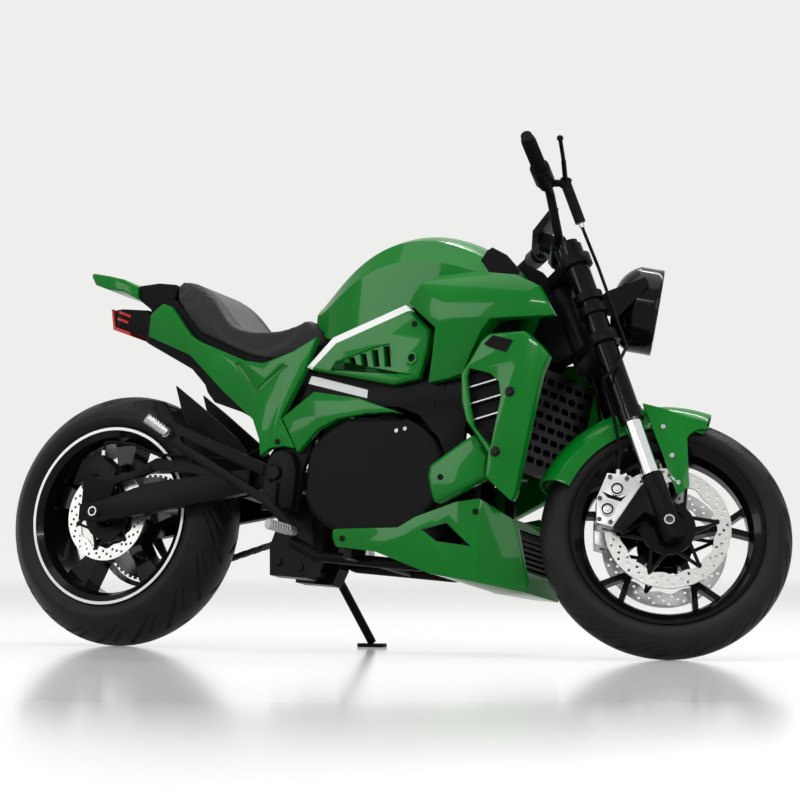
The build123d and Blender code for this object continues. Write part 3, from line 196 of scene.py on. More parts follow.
# material helpers
def useGroup(tree, group, **values):
    return addNode(tree, "ShaderNodeGroup", values, node_tree=group).outputs


def mixColors(tree, factor, first, second):
    first, second = (c if isinstance(c, bpy.types.NodeSocket) else (*c, 1.0) for c in (first, second))
    return addNode(tree, "ShaderNodeMix", {0: factor, 6: first, 7: second}, data_type="RGBA").outputs[2]


def bumpOf(tree, height, distance, strength=1.0):
    values = {"Height": height, "Strength": strength, "Distance": distance}
    return addNode(tree, "ShaderNodeBump", values).outputs[0]


def newMaterial(name):
    mat = bpy.data.materials.new(name)
    mat.use_nodes = True
    return mat, mat.node_tree, mat.node_tree.nodes["Principled BSDF"].inputs


# coordinates on the upright machine, or about a hub on it
def bikeCoords(tree, matrix):
    back = matrix.inverted()
    values = {"Vector": objectPlace(tree), "Location": back.to_translation(),
              "Rotation": back.to_euler("XYZ")}
    return addNode(tree, "ShaderNodeMapping", values).outputs[0]


# a share above a line, in the upright machine's side view
def aboveLine(tree, split, start, end, soft=0.0006):
    (x0, z0), (x1, z1) = start, end
    slope = (z1 - z0) / (x1 - x0)
    run = calc(tree, "MULTIPLY_ADD", split["X"], -slope, slope * x0 - z0)
    return mapRange(tree, calc(tree, "ADD", split["Z"], run), 0.0, 1.0, -soft, soft)


finishes = {
    "greenPaint": {"color": (0.002, 0.172, 0.017), "deep": (0.0015, 0.125, 0.010), "rough": 0.22,
                   "coat": 0.22, "gloss": 0.05, "flake": 1500.0, "peel": 190.0, "peelDepth": 0.0002},
    "whitePaint": {"color": (0.78, 0.79, 0.78), "deep": (0.70, 0.71, 0.70), "rough": 0.35, "coat": 0.4,
                   "gloss": 0.4, "flake": 1500.0, "peel": 190.0, "peelDepth": 0.0002},
    "glossBlack": {"color": (0.004, 0.004, 0.0045), "deep": (0.002, 0.002, 0.0025), "rough": 0.16,
                   "coat": 0.10, "gloss": 0.06, "flake": 1100.0, "peel": 160.0, "peelDepth": 0.0003},
    "satinBlack": {"color": (0.005, 0.005, 0.0055), "deep": (0.003, 0.003, 0.0035), "rough": 0.32,
                   "coat": 0.0, "gloss": 0.055, "flake": 900.0, "peel": 700.0, "peelDepth": 0.0008},
    "coverBlack": {"color": (0.005, 0.005, 0.0055), "deep": (0.003, 0.003, 0.0035), "rough": 0.34,
                   "coat": 0.0, "gloss": 0.05, "flake": 700.0, "peel": 900.0, "peelDepth": 0.0010},
    "mouldedBlack": {"color": (0.005, 0.005, 0.0055), "deep": (0.003, 0.003, 0.0035), "rough": 0.42,
                     "coat": 0.0, "gloss": 0.05, "flake": 500.0, "peel": 620.0, "peelDepth": 0.0020},
    "gripRubber": {"color": (0.006, 0.006, 0.006), "deep": (0.003, 0.003, 0.003), "rough": 0.60, "coat": 0.0,
                   "gloss": 0.06, "flake": 400.0, "peel": 480.0, "peelDepth": 0.0030},
    "tyreRubber": {"color": (0.008, 0.008, 0.0082), "deep": (0.004, 0.004, 0.0042), "rough": 0.42,
                   "coat": 0.0, "gloss": 0.12, "flake": 380.0, "peel": 420.0, "peelDepth": 0.0025,
                   "dust": 0.07},
    "seatThread": {"color": (0.060, 0.060, 0.060), "deep": (0.040, 0.040, 0.040), "rough": 0.60, "coat": 0.0,
                   "gloss": 0.2, "flake": 900.0, "peel": 700.0, "peelDepth": 0.0004},
    "redPaint": {"color": (0.42, 0.010, 0.010), "deep": (0.30, 0.006, 0.006), "rough": 0.35, "coat": 0.4,
                 "gloss": 0.4, "flake": 900.0, "peel": 260.0, "peelDepth": 0.0003},
}
coatedSet = {"coatRough": 0.04, "bump": 0.35, "dustTone": (0.20, 0.19, 0.17), "roughest": 1.1,
             "smoothest": 0.9}


# paints, plastics and rubbers: a mottled colour, a grain that tilts the gloss, and dust low down
def makeCoated(name, spec):
    mat, tree, skin = newMaterial(name)
    flake = useGroup(tree, fineGrain, Scale=spec["flake"], Detail=2.0)["Tone"]
    grain = useGroup(tree, fineGrain, Scale=spec["peel"], Detail=3.0)["Height"]
    color = mixColors(tree, flake, spec["deep"], spec["color"])
    if "dust" in spec:
        share = calc(tree, "MULTIPLY", useGroup(tree, roadDust)["Mask"], spec["dust"])
        color = mixColors(tree, share, color, coatedSet["dustTone"])
    rough = [spec["rough"] * coatedSet[end] for end in ("roughest", "smoothest")]
    feed(tree, skin, {"Base Color": color, "Roughness": mapRange(tree, flake, *rough),
                      "Normal": bumpOf(tree, grain, spec["peelDepth"], coatedSet["bump"]),
                      "Coat Weight": spec["coat"], "Coat Roughness": coatedSet["coatRough"],
                      "Specular IOR Level": spec["gloss"]})
    return mat


metals = {
    "discSteel": {"color": (0.50, 0.50, 0.485), "deep": (0.30, 0.30, 0.295), "rough": 0.30, "lines": 1500.0},
    "axleSteel": {"color": (0.42, 0.42, 0.43), "deep": (0.25, 0.25, 0.26), "rough": 0.34, "lines": 900.0},
    "castAlloy": {"color": (0.58, 0.58, 0.57), "deep": (0.34, 0.34, 0.335), "rough": 0.32, "depth": 0.0006},
    "darkSteel": {"color": (0.085, 0.085, 0.083), "deep": (0.045, 0.045, 0.045), "rough": 0.36,
                  "depth": 0.0006},
    "chainSteel": {"color": (0.20, 0.195, 0.18), "deep": (0.09, 0.086, 0.08), "rough": 0.42, "depth": 0.0006},
    "brightTube": {"color": (0.80, 0.80, 0.81), "deep": (0.72, 0.72, 0.73), "rough": 0.09, "depth": 0.00005},
    "reflector": {"color": (0.82, 0.82, 0.83), "deep": (0.76, 0.76, 0.77), "rough": 0.07, "depth": 0.00005},
    "axleSteelPlain": {"color": (0.42, 0.42, 0.43), "deep": (0.25, 0.25, 0.26), "rough": 0.34,
                       "depth": 0.0006},
}
metalSet = {"grain": 650.0, "bump": 0.3, "lineDepth": 0.0003, "roughest": 1.25, "smoothest": 0.8}


# metals: turned lines about a place, or a cast and polished grain
def makeMetal(name, spec, place=None):
    mat, tree, skin = newMaterial(name)
    if place is not None:
        marks = useGroup(tree, turnedLines, Vector=bikeCoords(tree, place), Scale=spec["lines"])
    else:
        marks = useGroup(tree, fineGrain, Scale=metalSet["grain"], Detail=4.0)
    rough = [spec["rough"] * metalSet[end] for end in ("roughest", "smoothest")]
    depth = spec.get("depth", metalSet["lineDepth"])
    feed(tree, skin, {"Base Color": mixColors(tree, marks["Tone"], spec["deep"], spec["color"]),
                      "Roughness": mapRange(tree, marks["Tone"], *rough), "Metallic": 1.0,
                      "Normal": bumpOf(tree, marks["Height"], depth, metalSet["bump"])})
    return mat


mats = {name: makeCoated(name, spec) for name, spec in finishes.items()}
mats.update({name: makeMetal(name, spec) for name, spec in metals.items() if "lines" not in spec})
for key, place, hub in (("rear", toBike, rearHub), ("front", toFork, frontHub)):
    about = place @ Matrix.Translation(hub)
    mats[key + "Disc"] = makeMetal(key + "DiscSteel", metals["discSteel"], about)
    mats[key + "Axle"] = makeMetal(key + "AxleSteel", metals["axleSteel"], about)


# white marks: a band along the top of the vent panels, and a short bar on the spars in front of the tail
whiteMarks = {"bandRear": ((0.614, 0.684), (0.677, 0.748)), "bandFront": ((0.677, 0.748), (0.884, 0.830)),
              "barLow": ((0.604, 0.650), (0.756, 0.616)), "barHigh": ((0.604, 0.672), (0.768, 0.634)),
              "barEnd": 0.764}


def ventBand(tree, split):
    rear, front = (aboveLine(tree, split, *whiteMarks[key]) for key in ("bandRear", "bandFront"))
    return calc(tree, "MAXIMUM", rear, front)


def sparBar(tree, split):
    low, high = (aboveLine(tree, split, *whiteMarks[key]) for key in ("barLow", "barHigh"))
    between = calc(tree, "SUBTRACT", low, high)
    behind = calc(tree, "LESS_THAN", split["X"], whiteMarks["barEnd"])
    return calc(tree, "MULTIPLY", between, behind, use_clamp=True)


for name, base, markOf in (("ventPaint", "greenPaint", ventBand), ("sparBlack", "satinBlack", sparBar)):
    mat = mats[base].copy()
    mat.name = name
    tree = mat.node_tree
    skin = tree.nodes["Principled BSDF"].inputs
    split = addNode(tree, "ShaderNodeSeparateXYZ", {0: bikeCoords(tree, toBike)}).outputs
    under = skin["Base Color"].links[0].from_socket
    white = finishes["whitePaint"]["color"]
    feed(tree, skin, {"Base Color": mixColors(tree, markOf(tree, split), under, white)})
    mats[name] = mat

glassSet = {"color": (0.95, 0.96, 0.97), "worn": (0.9215, 0.9312, 0.9409), "rough": 0.02, "grain": 60.0,
            "bend": 1.46}
mats["lampGlass"], tree, skin = newMaterial("lampGlass")
tone = useGroup(tree, fineGrain, Scale=glassSet["grain"], Detail=2.0)["Tone"]
feed(tree, skin, {"Roughness": mapRange(tree, tone, glassSet["rough"], glassSet["rough"] * 1.4),
                  "Base Color": mixColors(tree, tone, glassSet["color"], glassSet["worn"]),
                  "Transmission Weight": 1.0, "IOR": glassSet["bend"]})

lensSet = {"deep": (0.34, 0.004, 0.004), "color": (0.55, 0.010, 0.008), "ribs": 300.0, "ribDepth": 0.0005,
           "rough": 0.15, "gloss": 0.15, "coat": 0.25}
mats["redLens"], tree, skin = newMaterial("redLens")
ribs = useGroup(tree, fineGrain, Scale=lensSet["ribs"], Detail=1.0)
feed(tree, skin, {"Base Color": mixColors(tree, ribs["Tone"], lensSet["deep"], lensSet["color"]),
                  "Normal": bumpOf(tree, ribs["Height"], lensSet["ribDepth"]), "Roughness": lensSet["rough"],
                  "Specular IOR Level": lensSet["gloss"], "Coat Weight": lensSet["coat"]})

# the seat's pad is painted lighter on top than its sides ("top" against "side" colours): a painted highlight where
# the pad reflects light
leather = {"cells": 560.0, "side": [(0.003, 0.003, 0.0035), (0.007, 0.007, 0.0075)], "rough": (0.42, 0.60),
           "top": [(0.022, 0.022, 0.022), (0.046, 0.046, 0.045)], "gloss": 0.22, "sheen": 0.08,
           "bump": 0.4, "depth": 0.0006}
mats["seatLeather"], tree, skin = newMaterial("seatLeather")
cells = useGroup(tree, leatherCells, Scale=leather["cells"])
pad = addNode(tree, "ShaderNodeAttribute", attribute_name="padHighlightShare").outputs["Fac"]
side, top = (mixColors(tree, cells["Tone"], *leather[part]) for part in ("side", "top"))
feed(tree, skin, {"Base Color": mixColors(tree, pad, side, top),
                  "Roughness": mapRange(tree, cells["Tone"], *leather["rough"]),
                  "Normal": bumpOf(tree, cells["Height"], leather["depth"], leather["bump"]),
                  "Specular IOR Level": leather["gloss"], "Sheen Weight": leather["sheen"]})
print("finishes made:", len(mats))

finishOf = {
    "greenPaint": ["tank_cover", "tank_shoulders", "tail_panels", "arch_panels", "radiator_panels",
                   "mid_arms", "belly_pan", "front_fender", "spoiler"],
    "ventPaint": ["vent_panels"],
    "sparBlack": ["frame"],
    "satinBlack": ["lower_cradle", "pivot_plates", "peg_brackets", "triple_clamps", "lamp_brackets",
                   "handlebar", "battery_case", "rear_caliper", "radiator", "side_stand", "swingarm",
                   "fork_feet", "levers", "pivot_bolt"],
    "coverBlack": ["motor_unit"],
    "glossBlack": ["fork_tubes", "headlamp", "front_rim", "rear_rim"],
    "mouldedBlack": ["belly_grille", "tail_tray", "hugger", "dash", "switch_housings", "tail_lamp",
                     "pillion_cowl", "side_louvres"],
    "redLens": ["tail_lens"],
    "chainSteel": ["chain", "drive_sprocket"],
    "castAlloy": ["front_calipers", "footpegs"],
    "brightTube": ["fork_stanchions"],
    "tyreRubber": ["front_tyre", "rear_tyre"],
    "gripRubber": ["grips", "front_brake_hoses", "rear_brake_hose"],
    "seatLeather": ["seat"],
    "lampGlass": ["headlamp_lens"],
    "frontDisc": ["front_discs"],
    "rearDisc": ["rear_disc"],
    "darkSteel": ["rear_sprocket"],
    "frontAxle": ["front_axle"],
    "rearAxle": ["rear_axle"],
}
finishByNode = {node: finish for finish, names in finishOf.items() for node in names}
for node, finish in finishByNode.items():
    nodes[node].data.materials.clear()
    nodes[node].data.materials.append(mats[finish])
bodyOf = {n: body for body, names in frame["record"]["behaviour"]["bodies"].items() for n in names}


# object helpers
def hold(name, mesh):
    piece = bpy.data.objects.new(name, mesh)
    scene.collection.objects.link(piece)
    return piece


def smoothByAngle(mesh, angle):
    mesh.shade_smooth()
    mesh.set_sharp_from_angle(angle=math.radians(angle))


# a piece of one mesh, or of a list of them joined
def addPiece(name, mesh, body, finish, replaced=(), smooth=None):
    if isinstance(mesh, list):
        mesh = joinMeshes(name, mesh)
    if smooth:
        smoothByAngle(mesh, smooth)
    piece = hold(name, mesh)
    if finish:
        mesh.materials.clear()
        mesh.materials.append(mats[finish])
    if replaced:
        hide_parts(*replaced)
    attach(piece, body)
    return piece


# the finished mesh of an object with modifiers, which goes with its old mesh
def evaluatedMesh(piece):
    bpy.context.view_layer.update()
    graph = bpy.context.evaluated_depsgraph_get()
    mesh = bpy.data.meshes.new_from_object(piece.evaluated_get(graph))
    old = piece.data
    bpy.data.objects.remove(piece)
    if old.users == 0:
        bpy.data.meshes.remove(old)
    return mesh


# panels and castings get rounded edges, so that they catch the light as the real ones do
rounded = {
    "tank_shoulders": 0.006, "vent_panels": 0.004, "tail_panels": 0.005, "arch_panels": 0.004,
    "radiator_panels": 0.004, "mid_arms": 0.004, "belly_pan": 0.003, "pillion_cowl": 0.005, "spoiler": 0.004,
    "frame": 0.004, "pivot_plates": 0.004, "peg_brackets": 0.003, "swingarm": 0.005, "tail_tray": 0.003,
    "battery_case": 0.006, "front_calipers": 0.005, "rear_caliper": 0.004, "tail_lamp": 0.004, "dash": 0.004,
    "triple_clamps": 0.003, "belly_grille": 0.0012, "fork_feet": 0.003, "side_louvres": 0.0015,
    "hugger": 0.0015, "front_fender": 0.0015,
}
edgeSet = {"weld": 2e-5, "flat": 0.8, "sharp": 28, "segments": 3, "smooth": 32}


def roundEdges(node, width):
    mesh = nodes[node].data.copy()
    shape = bmesh.new()
    shape.from_mesh(mesh)
    bmesh.ops.remove_doubles(shape, verts=shape.verts, dist=edgeSet["weld"])
    bmesh.ops.dissolve_limit(shape, angle_limit=math.radians(edgeSet["flat"]), verts=shape.verts,
                             edges=shape.edges)
    shape.to_mesh(mesh)
    shape.free()
    holder = hold("holder", mesh)
    bevel = holder.modifiers.new("roundedEdge", "BEVEL")
    bevel.width, bevel.segments, bevel.limit_method = width, edgeSet["segments"], "ANGLE"
    bevel.angle_limit, bevel.use_clamp_overlap = math.radians(edgeSet["sharp"]), True
    words = node.split("_")
    name = words[0] + "".join(w.capitalize() for w in words[1:]) + "Shell"
    shell = evaluatedMesh(holder)
    addPiece(name, shell, bodyOf[node], finishByNode[node], [node], edgeSet["smooth"])


for node, width in rounded.items():
    roundEdges(node, width)
print("edges rounded on", len(rounded), "nodes")


# mesh makers in the upright machine's metres
def makeMesh(name, verts, faces, matrix):
    mesh = bpy.data.meshes.new(name)
    mesh.from_pydata(verts, [], faces)
    mesh.transform(matrix)
    shape = bmesh.new()
    shape.from_mesh(mesh)
    bmesh.ops.recalc_face_normals(shape, faces=shape.faces)
    shape.to_mesh(mesh)
    shape.free()
    return mesh


def joinMeshes(name, parts):
    shape = bmesh.new()
    for part in parts:
        shape.from_mesh(part)
        bpy.data.meshes.remove(part)
    mesh = bpy.data.meshes.new(name)
    shape.to_mesh(mesh)
    shape.free()
    return mesh


# faces between a closed row of sections, each a closed loop of the same size
def ringFaces(count, size):
    faces = []
    for n in range(count):
        this, after = n * size, (n + 1) % count * size
        faces += [(this + k, this + (k + 1) % size, after + (k + 1) % size, after + k) for k in range(size)]
    return faces


# a closed section of (along, radius) corners, turned about an axis
def lathe(name, section, centre, axis, count, matrix):
    axis = Vector(axis).normalized()
    side = axis.orthogonal().normalized()
    other = axis.cross(side)
    verts = []
    for n in range(count):
        angle = 2 * math.pi * n / count
        out = side * math.cos(angle) + other * math.sin(angle)
        verts += [Vector(centre) + axis * along + out * reach for along, reach in section]
    return makeMesh(name, verts, ringFaces(count, len(section)), matrix)


# a flat ring: a lathe of a plain oblong section
def band(name, low, high, start, end, centre, axis, count, matrix):
    return lathe(name, [(start, low), (end, low), (end, high), (start, high)], centre, axis, count, matrix)


def cylinder(name, start, end, radius, matrix, count=20):
    run = Vector(end) - Vector(start)
    tiny, edge = radius * 0.001, radius * 0.1
    section = [(0, tiny), (0, radius * 0.9), (edge, radius), (run.length - edge, radius),
               (run.length, radius * 0.9), (run.length, tiny)]
    return lathe(name, section, start, run, count, matrix)


# a flat side outline of (x, z) corners, between two places across the machine
def prism(name, points, low, high, matrix):
    n = len(points)
    verts = [(x, low, z) for x, z in points] + [(x, high, z) for x, z in points]
    walls = [(k, (k + 1) % n, n + (k + 1) % n, n + k) for k in range(n)]
    return makeMesh(name, verts, [tuple(range(n)), tuple(range(n, 2 * n))] + walls, matrix)


def sidePrisms(name, points, low, high, matrix):
    return [prism(name, points, *sorted((sign * low, sign * high)), matrix) for sign in (-1, 1)]


# points that carry the way they face, for the node trees
def pointMesh(name, spots, matrix=Matrix.Identity(4)):
    mesh = bpy.data.meshes.new(name)
    mesh.from_pydata([matrix @ Vector(p) for p, a in spots], [], [])
    aims = mesh.attributes.new("aim", "FLOAT_VECTOR", "POINT")
    for item, (p, a) in zip(aims.data, spots):
        item.vector = matrix.to_3x3() @ Vector(a)
    return mesh


def bothSides(spots):
    return [((x, s * y, z), (0, s, 0)) for x, y, z in spots for s in (-1, 1)]


def mirrored(spots):
    return spots + [(Vector((p[0], -p[1], p[2])), Vector((a[0], -a[1], a[2]))) for p, a in spots]


# geometry node helpers
def pointTree(name, sizes):
    return newGroup(name, "GeometryNodeTree", {"Points": None, **sizes, "Finish": None}, ["Pieces"])


def aimOf(tree):
    named = addNode(tree, "GeometryNodeInputNamedAttribute", {"Name": "aim"}, data_type="FLOAT_VECTOR")
    return named.outputs["Attribute"]


def aimedTurn(tree):
    return addNode(tree, "FunctionNodeAlignRotationToVector", {"Vector": aimOf(tree)}, axis="Z").outputs[0]


def closeTree(tree, given, result, pieces):
    real = addNode(tree, "GeometryNodeRealizeInstances", {0: pieces}).outputs[0]
    painted = addNode(tree, "GeometryNodeSetMaterial", {"Geometry": real, "Material": given["Finish"]})
    feed(tree, result, {"Pieces": painted.outputs[0]})
    return tree


def setOnPoints(tree, given, result, piece, turn):
    values = {"Points": given["Points"], "Instance": piece, "Rotation": turn}
    return closeTree(tree, given, result, addNode(tree, "GeometryNodeInstanceOnPoints", values).outputs[0])


def extrude(tree, mesh, faces, offset, single=True):
    values = {"Mesh": mesh, "Selection": faces, "Offset Scale": offset, "Individual": single}
    return addNode(tree, "GeometryNodeExtrudeMesh", values, mode="FACES").outputs


def shrink(tree, mesh, faces, scale):
    values = {"Geometry": mesh, "Selection": faces, "Scale": scale}
    return addNode(tree, "GeometryNodeScaleElements", values).outputs[0]


def joined(tree, *parts):
    node = addNode(tree, "GeometryNodeJoinGeometry")
    for part in parts:
        tree.links.new(part, node.inputs[0])
    return node.outputs[0]


# a flat sheet made a plate with two faces
def slab(tree, sheet, thickness):
    back = addNode(tree, "GeometryNodeFlipFaces", {0: sheet}).outputs[0]
    return joined(tree, extrude(tree, sheet, True, thickness, False)["Mesh"], back)


def circleOf(tree, radius, count):
    values = {"Radius": radius, "Resolution": count}
    return addNode(tree, "GeometryNodeCurvePrimitiveCircle", values).outputs["Curve"]


def tubeOf(tree, radius, depth, count, **settings):
    values = {"Radius": radius, "Depth": depth, "Vertices": count}
    return addNode(tree, "GeometryNodeMeshCylinder", values, **settings).outputs


def movedAlong(tree, mesh, axis, distance):
    shift = addNode(tree, "ShaderNodeCombineXYZ", {axis: distance}).outputs[0]
    return addNode(tree, "GeometryNodeTransform", {"Geometry": mesh, "Translation": shift}).outputs[0]


# a tree's result on a mesh, with its inputs set by identifier
def runTree(name, mesh, tree, **values):
    holder = hold(name + "Base", mesh)
    modifier = holder.modifiers.new("nodes", "NODES")
    modifier.node_group = tree
    for item in tree.interface.items_tree:
        if item.in_out == "INPUT" and item.name in values:
            modifier[item.identifier] = values[item.name]
    return evaluatedMesh(holder)


# screws: a domed head with a sunk socket
screwShape = {"sides": 18, "dome": 0.35, "narrow": 0.8, "sunk": 0.7, "socket": 0.55, "smooth": 30}


def buildScrewTree():
    tree, given, result = pointTree("screwHeads", {"Radius": 0.006, "Height": 0.004, "Socket": 0.5})
    head = tubeOf(tree, given["Radius"], given["Height"], screwShape["sides"], fill_type="NGON")
    lift = calc(tree, "MULTIPLY", given["Height"], screwShape["dome"])
    dome = extrude(tree, head["Mesh"], head["Top"], lift)
    rim = extrude(tree, shrink(tree, dome["Mesh"], dome["Top"], screwShape["narrow"]), dome["Top"], 0.0)
    mouth = shrink(tree, rim["Mesh"], rim["Top"], given["Socket"])
    sunk = extrude(tree, mouth, rim["Top"], calc(tree, "MULTIPLY", given["Height"], -screwShape["sunk"]))
    return setOnPoints(tree, given, result, sunk["Mesh"], aimedTurn(tree))


screwTree = buildScrewTree()


def placeScrews(name, spec):
    points = pointMesh(name + "Points", bothSides(spec["spots"]), placeOf[spec["body"]])
    heads = runTree(name, points, screwTree, Radius=spec["radius"], Height=spec["height"],
                    Socket=screwShape["socket"], Finish=mats[spec["finish"]])
    addPiece(name, heads, spec["body"], None, smooth=screwShape["smooth"])


screws = {
    "panelScrews": {"radius": 0.0075, "height": 0.0030, "finish": "satinBlack", "body": "chassis",
                    "slot": "black_metal",
                    "spots": [(0.895, 0.1642, 0.793), (1.017, 0.1922, 0.409), (0.748, 0.1722, 0.260),
                              (1.106, 0.1662, 0.330), (0.532, 0.1602, 0.502), (0.948, 0.1382, 0.596),
                              (0.975, 0.1382, 0.641), (0.150, 0.1462, 0.440)]},
    "bandBolts": {"radius": 0.0125, "height": 0.0040, "finish": "glossBlack", "body": "chassis",
                  "slot": "black_metal", "spots": [(1.196, 0.2102, 0.613), (1.170, 0.2102, 0.468)]},
    "fenderScrews": {"radius": 0.0060, "height": 0.0030, "finish": "axleSteelPlain", "body": "fork",
                     "slot": "steel",
                     "spots": [(1.490, 0.0862, 0.548), (1.519, 0.0862, 0.478), (1.541, 0.0862, 0.412)]},
    "coverScrews": {"radius": 0.0055, "height": 0.0030, "finish": "axleSteelPlain", "body": "chassis",
                    "slot": "steel", "spots": [(0.8625, 0.1522, 0.5301), (0.8861, 0.1522, 0.5348)]},
}
for name, spec in screws.items():
    placeScrews(name, spec)
print("screws set")


# drilled brake rings: two circles, one of them waved, with holes on given points
ringSides = {"outer": 144, "inner": 240, "hole": 10, "weld": 0.00002}


def buildRotorTree():
    sizes = {"Hole": 0.003, "Outer": 0.15, "Inner": 0.112, "Petals": 15.0, "Wave": 0.003, "Thickness": 0.005}
    tree, given, result = pointTree("drilledRing", sizes)
    outer = circleOf(tree, given["Outer"], ringSides["outer"])
    inner = circleOf(tree, given["Inner"], ringSides["inner"])
    hole = circleOf(tree, given["Hole"], ringSides["hole"])
    along = addNode(tree, "GeometryNodeSplineParameter").outputs["Factor"]
    angle = calc(tree, "MULTIPLY", calc(tree, "MULTIPLY", along, given["Petals"]), 2 * math.pi)
    depth = calc(tree, "MULTIPLY", calc(tree, "SINE", angle), given["Wave"])
    place = addNode(tree, "GeometryNodeInputPosition").outputs[0]
    away = addNode(tree, "ShaderNodeVectorMath", {0: place}, operation="NORMALIZE").outputs[0]
    shift = addNode(tree, "ShaderNodeVectorMath", {0: away, "Scale": depth}, operation="SCALE").outputs[0]
    petals = addNode(tree, "GeometryNodeSetPosition", {"Geometry": inner, "Offset": shift}).outputs[0]
    spots = addNode(tree, "GeometryNodeInstanceOnPoints", {"Points": given["Points"], "Instance": hole})
    holes = addNode(tree, "GeometryNodeRealizeInstances", {0: spots.outputs[0]}).outputs[0]
    rings = joined(tree, outer, petals, holes)
    sheet = addNode(tree, "GeometryNodeFillCurve", {0: rings}, mode="TRIANGLES").outputs[0]
    plate = slab(tree, sheet, given["Thickness"])
    welded = addNode(tree, "GeometryNodeMergeByDistance", {0: plate, "Distance": ringSides["weld"]})
    return closeTree(tree, given, result, welded.outputs[0])


rotorTree = buildRotorTree()
rotors = {
    "front": {"outer": 0.150, "inner": 0.114, "hole": 0.0036, "rows": (0.1225, 0.1318, 0.1412), "perRow": 24,
              "petals": 13.0, "wave": 0.0028, "thick": 0.005, "sides": (-0.071, 0.071), "hub": 0.066,
              "bore": 0.047, "arms": 6, "node": "front_discs"},
    "rear": {"outer": 0.117, "inner": 0.084, "hole": 0.0036, "rows": (0.0925, 0.1007, 0.1089), "perRow": 20,
             "petals": 12.0, "wave": 0.0028, "thick": 0.005, "sides": (-0.092,), "hub": 0.064, "bore": 0.031,
             "arms": 6, "node": "rear_disc"},
}
# carriers: a ring round the hub and pairs of legs that meet the brake ring at a button
carrier = {"half": 0.003, "overlap": 0.003, "sunk": 0.004, "legs": (0.022, 0.014, 0.003, 0.005),
           "button": 0.0065, "buttonHalf": 0.0045, "rowShift": 0.36, "armShift": 0.25, "steps": 48,
           "buttonSteps": 14, "smooth": 40}


def buildCarrier(spec, hub, side, matrix):
    half, tip, root = carrier["half"], spec["inner"] + carrier["overlap"], spec["hub"] - carrier["sunk"]
    a, b, c, d = carrier["legs"]
    centre = hub + Vector((0, side, 0))
    parts = [band("carrier", spec["bore"], spec["hub"], -half, half, centre, (0, 1, 0), carrier["steps"],
                  matrix)]
    for k in range(spec["arms"]):
        angle = 2 * math.pi * (k + carrier["armShift"]) / spec["arms"]
        cosine, sine = math.cos(angle), math.sin(angle)
        for lean in (-1, 1):
            leg = [(root, lean * a), (root, lean * b), (tip, -lean * c), (tip, lean * d)]
            turned = [(hub.x + u * cosine - v * sine, hub.z + u * sine + v * cosine) for u, v in leg]
            parts.append(prism("leg", turned, side - half, side + half, matrix))
        eye = hub + Vector((tip * cosine, side, tip * sine))
        reach = Vector((0, carrier["buttonHalf"], 0))
        ends = [eye - reach, eye + reach]
        parts.append(cylinder("button", *ends, carrier["button"], matrix, carrier["buttonSteps"]))
    return parts


def buildRotors(key, hub, body):
    spec, matrix = rotors[key], placeOf[body]
    holes, rings, carriers = [], [], []
    for n, reach in enumerate(spec["rows"]):
        for k in range(spec["perRow"]):
            angle = 2 * math.pi * (k + carrier["rowShift"] * n) / spec["perRow"]
            holes.append(((reach * math.cos(angle), reach * math.sin(angle), 0), (0, 0, 1)))
    upright = Matrix(((1, 0, 0, 0), (0, 0, -1, 0), (0, 1, 0, 0), (0, 0, 0, 1)))
    for side in spec["sides"]:
        ring = runTree(key + "Ring", pointMesh(key + "Holes", holes), rotorTree, Hole=spec["hole"],
                       Outer=spec["outer"], Inner=spec["inner"], Petals=spec["petals"], Wave=spec["wave"],
                       Thickness=spec["thick"], Finish=mats[key + "Disc"])
        ring.transform(matrix @ Matrix.Translation(hub + Vector((0, side + spec["thick"] / 2, 0))) @ upright)
        rings.append(ring)
        carriers += buildCarrier(spec, hub, side, matrix)
    addPiece(key + "Rotors", rings, body, key + "Disc", [spec["node"]], carrier["smooth"])
    addPiece(key + "Carriers", carriers, body, "satinBlack", smooth=carrier["smooth"])


buildRotors("front", frontHub, "front_wheel")
buildRotors("rear", rearHub, "rear_wheel")
print("brake rings drilled")


# chain: capsule plates and rollers on points along the loop
linkShape = {"corner": 0.49, "cornerSteps": 5, "rollerSides": 12}


def buildLinkTree():
    sizes = {"Pitch": 0.0159, "Height": 0.0125, "Plate": 0.0018, "Half": 0.005, "Roller": 0.0042}
    tree, given, result = pointTree("chainLinks", sizes)
    oblong = {"Width": calc(tree, "ADD", given["Pitch"], given["Height"]), "Height": given["Height"]}
    shape = addNode(tree, "GeometryNodeCurvePrimitiveQuadrilateral", oblong).outputs[0]
    corner = {"Curve": shape, "Radius": calc(tree, "MULTIPLY", given["Height"], linkShape["corner"]),
              "Count": linkShape["cornerSteps"]}
    capsule = addNode(tree, "GeometryNodeFilletCurve", corner, mode="POLY").outputs[0]
    sheet = addNode(tree, "GeometryNodeFillCurve", {0: capsule}, mode="NGONS").outputs[0]
    plate = slab(tree, sheet, given["Plate"])
    width = calc(tree, "MULTIPLY", given["Half"], 2.0)
    roller = tubeOf(tree, given["Roller"], width, linkShape["rollerSides"])["Mesh"]
    parts = [movedAlong(tree, plate, 2, calc(tree, "MULTIPLY", given["Half"], sign)) for sign in (-1.0, 1.0)]
    parts.append(movedAlong(tree, roller, 0, calc(tree, "MULTIPLY", given["Pitch"], 0.5)))
    ahead = addNode(tree, "FunctionNodeAlignRotationToVector", {"Vector": aimOf(tree)}, axis="X").outputs[0]
    values = {"Rotation": ahead, "Vector": (0, 1, 0)}
    across = addNode(tree, "FunctionNodeAlignRotationToVector", values, axis="Z", pivot_axis="X").outputs[0]
    return setOnPoints(tree, given, result, joined(tree, *parts), across)


chainSet = {"pitch": 0.0159, "height": 0.0128, "plate": 0.0016, "inner": 0.0046, "outer": 0.0068,
            "roller": 0.0044, "side": 0.114, "front": (0.655, 0.424), "frontReach": 0.0500,
            "rearReach": 0.1505}


